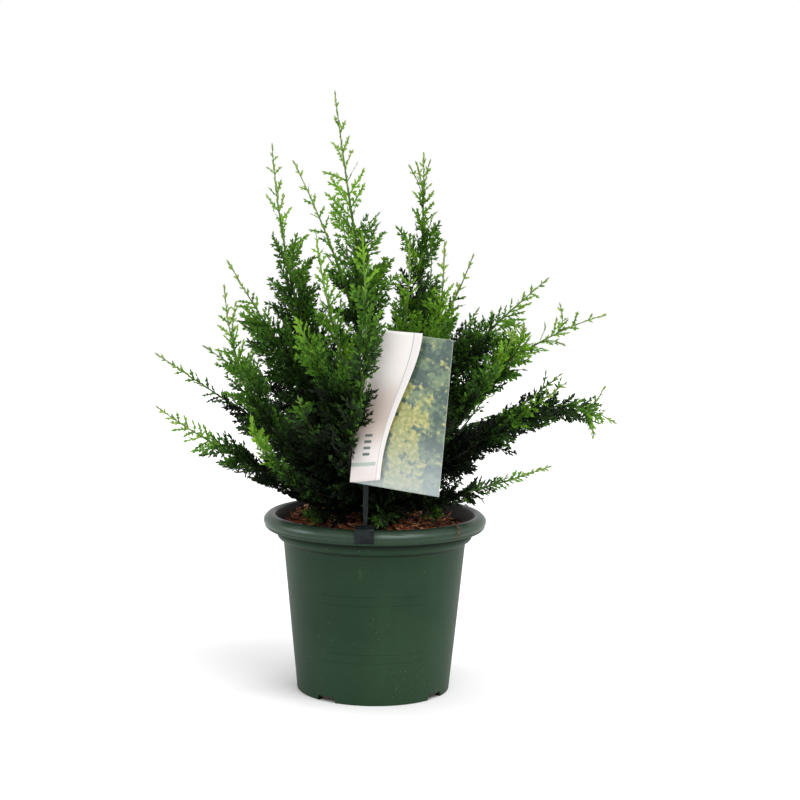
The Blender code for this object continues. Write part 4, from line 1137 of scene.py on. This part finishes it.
def sprayPlaces(shoot):
    # stations up a shoot, wide apart in its bare tip and close below; each has a spray left and right in
    # the shoot's own plane, and the sprays stray further round the stem towards its foot. Then come the
    # small pressed sprays that clothe the stem.
    path, length = shootPath(shoot)
    f, bare, tipGap, close = foliage, shoot["bare"], shoot["tipGap"], shoot["close"]
    footGap = f["footGap"] * close
    gap = lambda far: footGap + (tipGap - footGap) * max(0, 1 - (far / (bare * 1.25)) ** 2)
    fromTip = np.repeat(spaced(f["tipBack"] + 0.6 * tipGap, length * (1 - f["firstShare"]), gap), 2)
    n = len(fromTip)
    jog = rng.uniform(-0.2, 0.2, n) * np.interp(fromTip, [0, bare * 1.2], [tipGap, footGap])
    fromTip = (fromTip + jog).clip(5)
    share = 1 - fromTip / length
    base, way, face = framesAt(path, length, fromTip, shoot)
    side = np.cross(way, face) * np.where(np.arange(n) % 2, 1, -1)[:, None]
    low = np.clip((fromTip - bare * 0.4) / 90, 0, 1)
    stray = rng.normal(0, 1, n) * (f["wander"] + f["footWander"] * low ** 1.2)
    side, normal = rotated(side, way, stray), rotated(face, way, stray)
    lean = np.radians(f["lean"] - 4 * share + rng.normal(0, f["leanWander"], n))
    hold = shoot["hold"]
    grown = 2.6 + 0.1 * np.minimum(fromTip, hold) + shoot["opening"] * (fromTip - hold).clip(0)
    size = np.minimum(shoot["spread"] * fullness(share) / np.sin(lean), grown) * rng.uniform(0.75, 1.15, n)
    size *= 1 - (1 - shoot["over"]) * np.clip(0.3 + side[:, 2], 0, 1)
    size *= 1 - (1 - shoot["under"]) * np.clip(0.3 - side[:, 2], 0, 1)
    # the sleeve: all round the stem, close against it
    sleeveGap = lambda far: f["sleeveGap"] * close * (1.25 if far < bare else 1)
    sleeve = spaced(f["tipBack"], length * 0.95, sleeveGap)
    m = len(sleeve)
    sleeveBase, sleeveWay, sleeveFace = framesAt(path, length, sleeve, shoot)
    turn = rng.random(m) * math.tau
    sleeveSide = rotated(np.cross(sleeveWay, sleeveFace), sleeveWay, turn)
    sleeveLean = f["sleeveLean"] * (0.7 + 0.8 * np.clip(sleeve / 120, 0, 1)) + rng.normal(0, 6, m)
    sleeveNormal = rotated(sleeveFace, sleeveWay, turn)
    sleeveSize = rng.uniform(2.3, 3.6, m) + 9 * np.clip((sleeve - bare * 0.8) / 110, 0, 1)
    both = lambda a, b: np.concatenate([a, b])
    base, way = both(base, sleeveBase), both(way, sleeveWay)
    side, normal = both(side, sleeveSide), both(normal, sleeveNormal)
    lean, size, fromTip = both(lean, np.radians(sleeveLean)), both(size, sleeveSize), both(fromTip, sleeve)
    out = normalise(way * np.cos(lean)[:, None] + side * np.sin(lean)[:, None])
    across = normalise(np.cross(normal, out))
    roll = rng.normal(0, 1, n + m) * (0.3 + 0.6 * np.clip(fromTip / length, 0, 1))
    across = rotated(across, out, roll)
    # the spray that ends the shoot
    end = np.array([f["tipBack"]])
    endBase, endWay, endFace = framesAt(path, length, end, shoot)
    base, out, across = both(base, endBase), both(out, endWay), both(across, np.cross(endFace, endWay))
    size = both(size.clip(f["smallest"], f["largest"]), [f["endSpray"]])
    fromTip = both(fromTip, [0.0])
    # fewer sprays high up, where the sky shows between them
    sky = np.clip((base[:, 2] - 270) / 70, 0, 1) * (fromTip > bare)
    keep = rng.random(len(base)) > f["skyShare"] * sky
    onStem = np.arange(n + m + 1) >= n
    kept = (base, out, across, np.cross(out, across), size, fromTip, onStem)
    return tuple(each[keep] for each in kept)


def toneOf(shoot, base, fromTip, onStem):
    # painted light high up and out from the trunk, painted shade towards the trunk and the pot; the tips
    # lighter as young
    #     # growth; the clothed stems are lighter, more so in the painted light
    radius, height = np.hypot(base[:, 0], base[:, 1]), base[:, 2]
    # lit is painted light, growing with height and with distance from the trunk
    lit = 0.75 * np.clip((height - 165) / 140, 0, 1) + 0.25 * np.clip(radius / 120, 0, 1)
    tip = np.clip(1 - fromTip / (shoot["bare"] * 1.3), 0, 1) ** 0.7
    # glow is lighter young growth, and it also stands in for light: the shoot darkens away from its tip
    glow = np.clip(1.4 - 1.4 * fromTip / shoot["glow"], 0, 1)
    tone = shoot["tone"] * (0.15 + 0.85 * np.maximum(lit, glow)) * (0.55 + 0.45 * glow)
    tone = tone + (shoot["tipTone"] - tone) * tip * 0.85
    tone = tone + np.where(onStem, shoot["stem"] * lit, 0)
    return tone + rng.normal(0, 0.6, len(base))


# the free space round what is not foliage: round the card, the strip behind it, the rim and the soil. As
# the photo sees it, skirt is a line that falls to the right, under which nothing hangs at the left, and gap
# the open strip of sky between the upper and lower boughs on the right.
space = dict(card=2.5, cardEnd=2.0, behind=1.8, front=3.0, frontOfFlap=4.2, flapShare=0.1, reach=60,
             printTop=48, printStart=9, strip=(-89.0, 4.5, 5.0, 4.0), inside=3.0, rim=1.2, over=1.0,
             wall=14, trunkHalf=14, trunkFade=25, skirtFrom=(-45.0, 151.0), skirtFall=0.43, skirtEnd=-22.0,
             skirtBack=60, gapStart=(70.0, 225.0), gapEnd=(132.0, 270.0), gapHalf=5.6, gapTaper=34,
             gapGrains=(2.4, 6.0))


def seenFrom(points):
    # where places fall on the plane y = 0, across and up, for an eye at the photo's place
    eye = np.array(view["place"]) / mm
    return eye[[0, 2]] + (points[..., [0, 2]] - eye[[0, 2]]) * (eye[1] / (eye[1] - points[..., 1:2]))


def inOpenSky(points, seen):
    # within the gap, whose half width grows from its start and is made ragged by noise
    start, end = np.array(space["gapStart"]), np.array(space["gapEnd"])
    way = normalise(end - start)
    along, across = (seen - start) @ way, (seen - start) @ np.array([-way[1], way[0]])
    places = [np.concatenate([seen / size, points[..., 1:2] / 9], -1) for size in space["gapGrains"]]
    ragged = sum(latticeNoise(place, 31) for place in places)
    half = space["gapHalf"] * np.clip(0.1 + along / space["gapTaper"], 0, 1) * (0.8 + 0.9 * ragged)
    return (along > 0) & (along < np.linalg.norm(end - start)) & (np.abs(across) < half)


def inTheWay(points, origin, clear):
    # bits that would meet the card, the strip, the pot or the mulch; points is (sprays, bits, corners, 3)
    s = space
    local, root = toCard(points), toCard(origin)[:, None]
    out, deep, up = (local[..., axis] for axis in range(3))
    onCard = (out > -s["card"]) & (out < card["width"] + s["cardEnd"])
    onCard &= (up > -s["card"]) & (up < card["height"] + s["cardEnd"])
    onFlap = out < flapEdge(np.clip(up / card["height"], 0, 1)) + s["cardEnd"]
    front = np.where(onFlap, s["frontOfFlap"] + out.clip(0) * s["flapShare"], s["front"])
    near = onCard & (deep < s["behind"]) & (deep > -front)
    otherSide = (deep > 0) != (root[..., 1] > 0)[..., None]
    crossed = onCard & otherSide & (np.abs(deep) < s["reach"])
    onPrint = onCard & (deep < 0) & (up < s["printTop"]) & (out > s["printStart"])
    x, y, z = (points[..., axis] for axis in range(3))
    stripY, halfX, halfY, over = s["strip"]
    strip = (np.abs(x - holder["middle"]) < halfX) & (np.abs(y - stripY) < halfY)
    strip &= z < holder["stripTop"] + over
    radius, clear = np.hypot(x, y), clear[:, None, None]
    inside = radius <= pot["rimInside"] - s["inside"]
    rim = ~inside & (z < pot["height"] + s["over"]) & (radius < pot["rim"] + s["rim"])
    wall = ~inside & (z < pot["height"] - s["wall"])
    sideways = np.clip((np.abs(x) - s["trunkHalf"]) / s["trunkFade"], 0, 1)
    under = inside & (z < soilHeight(radius) + s["over"] + clear * sideways)
    seen = seenFrom(points)
    skirtX, skirtZ = s["skirtFrom"]
    skirt = seen[..., 1] < skirtZ - s["skirtFall"] * (seen[..., 0] - skirtX)
    skirt &= (clear > 0) & (y < s["skirtBack"]) & (seen[..., 0] < s["skirtEnd"])
    meets = near | crossed | onPrint | strip | rim | wall | under | skirt | inOpenSky(points, seen)
    return meets.any(-1)


def makeFoliage(name, shoot):
    # the sprays of a shoot and of its forks: each place takes one of the ready sprays near its size, turned
    # and scaled into place, less the leaves that are in the way. Gives the number of triangles, five to a
    # leaf.
    parts = []
    for each in [shoot] + [branch for branch in branches if branch["parent"] == name]:
        base, *others, fromTip, onStem = sprayPlaces(each)
        olive = (fromTip < each["bare"] * 0.7) & (not each["lime"])
        slender = fromTip < each["bare"] * 1.1
        clear = np.full(len(base), each["clear"])
        parts.append((base, *others, toneOf(each, base, fromTip, onStem), olive, slender, clear))
    merged = [np.concatenate(values) for values in zip(*parts)]
    base, out, across, normal, size, tone, olive, slender, clear = merged
    group = np.abs(size[:, None] - np.array(leaf["sizes"])[None]).argmin(1)
    kinds = len(leaf["sizes"]) * leaf["variants"]
    pick = group * leaf["variants"] + rng.integers(0, leaf["variants"], len(size)) + kinds * slender
    places, levels = [], []
    for kind in np.unique(pick):
        chosen = np.flatnonzero(pick == kind)
        g = kind % kinds // leaf["variants"]
        spray, lightness = sprays[kind // kinds][g][kind % leaf["variants"]]
        turn = np.stack([out[chosen], across[chosen], normal[chosen]], 1)
        grow = (size[chosen] / leaf["sizes"][g])[:, None, None, None]
        placed = base[chosen][:, None, None] + np.einsum("bvk,nkj->nbvj", spray, turn) * grow
        keep = ~inTheWay(placed, base[chosen], clear[chosen])
        level = tone[chosen][:, None] + 0.5 * lightness[None] + rng.normal(0, 0.35, keep.shape)
        level = level.round().clip(0, 6) + ((level > 5.5) & olive[chosen][:, None])
        places.append(placed[keep])
        levels.append(level[keep])
    points, level = np.concatenate(places), np.concatenate(levels)
    start = len(ribbonRows) * np.arange(len(points))[:, None, None]
    faces = [(start + ribbonQuads[None]).reshape(-1, 4), (start + ribbonEnd[None]).reshape(-1, 3)]
    slots = np.concatenate([np.repeat(level, len(ribbonQuads)), level])
    piece = makePiece("sprays_" + name, points.reshape(-1, 3) * mm, faces, leafLooks, slots)
    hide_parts("foliage_" + name)
    return 5 * len(points)


leafLooks = [Look(f"leaf{step}", tone, 0.6, Specular_IOR_Level=0.18).material
             for step, tone in enumerate(leafTones)]
leafFaces = sum(makeFoliage(name, shoot) for name, shoot in shoots.items())
print("foliage made:", leafFaces, "triangles")
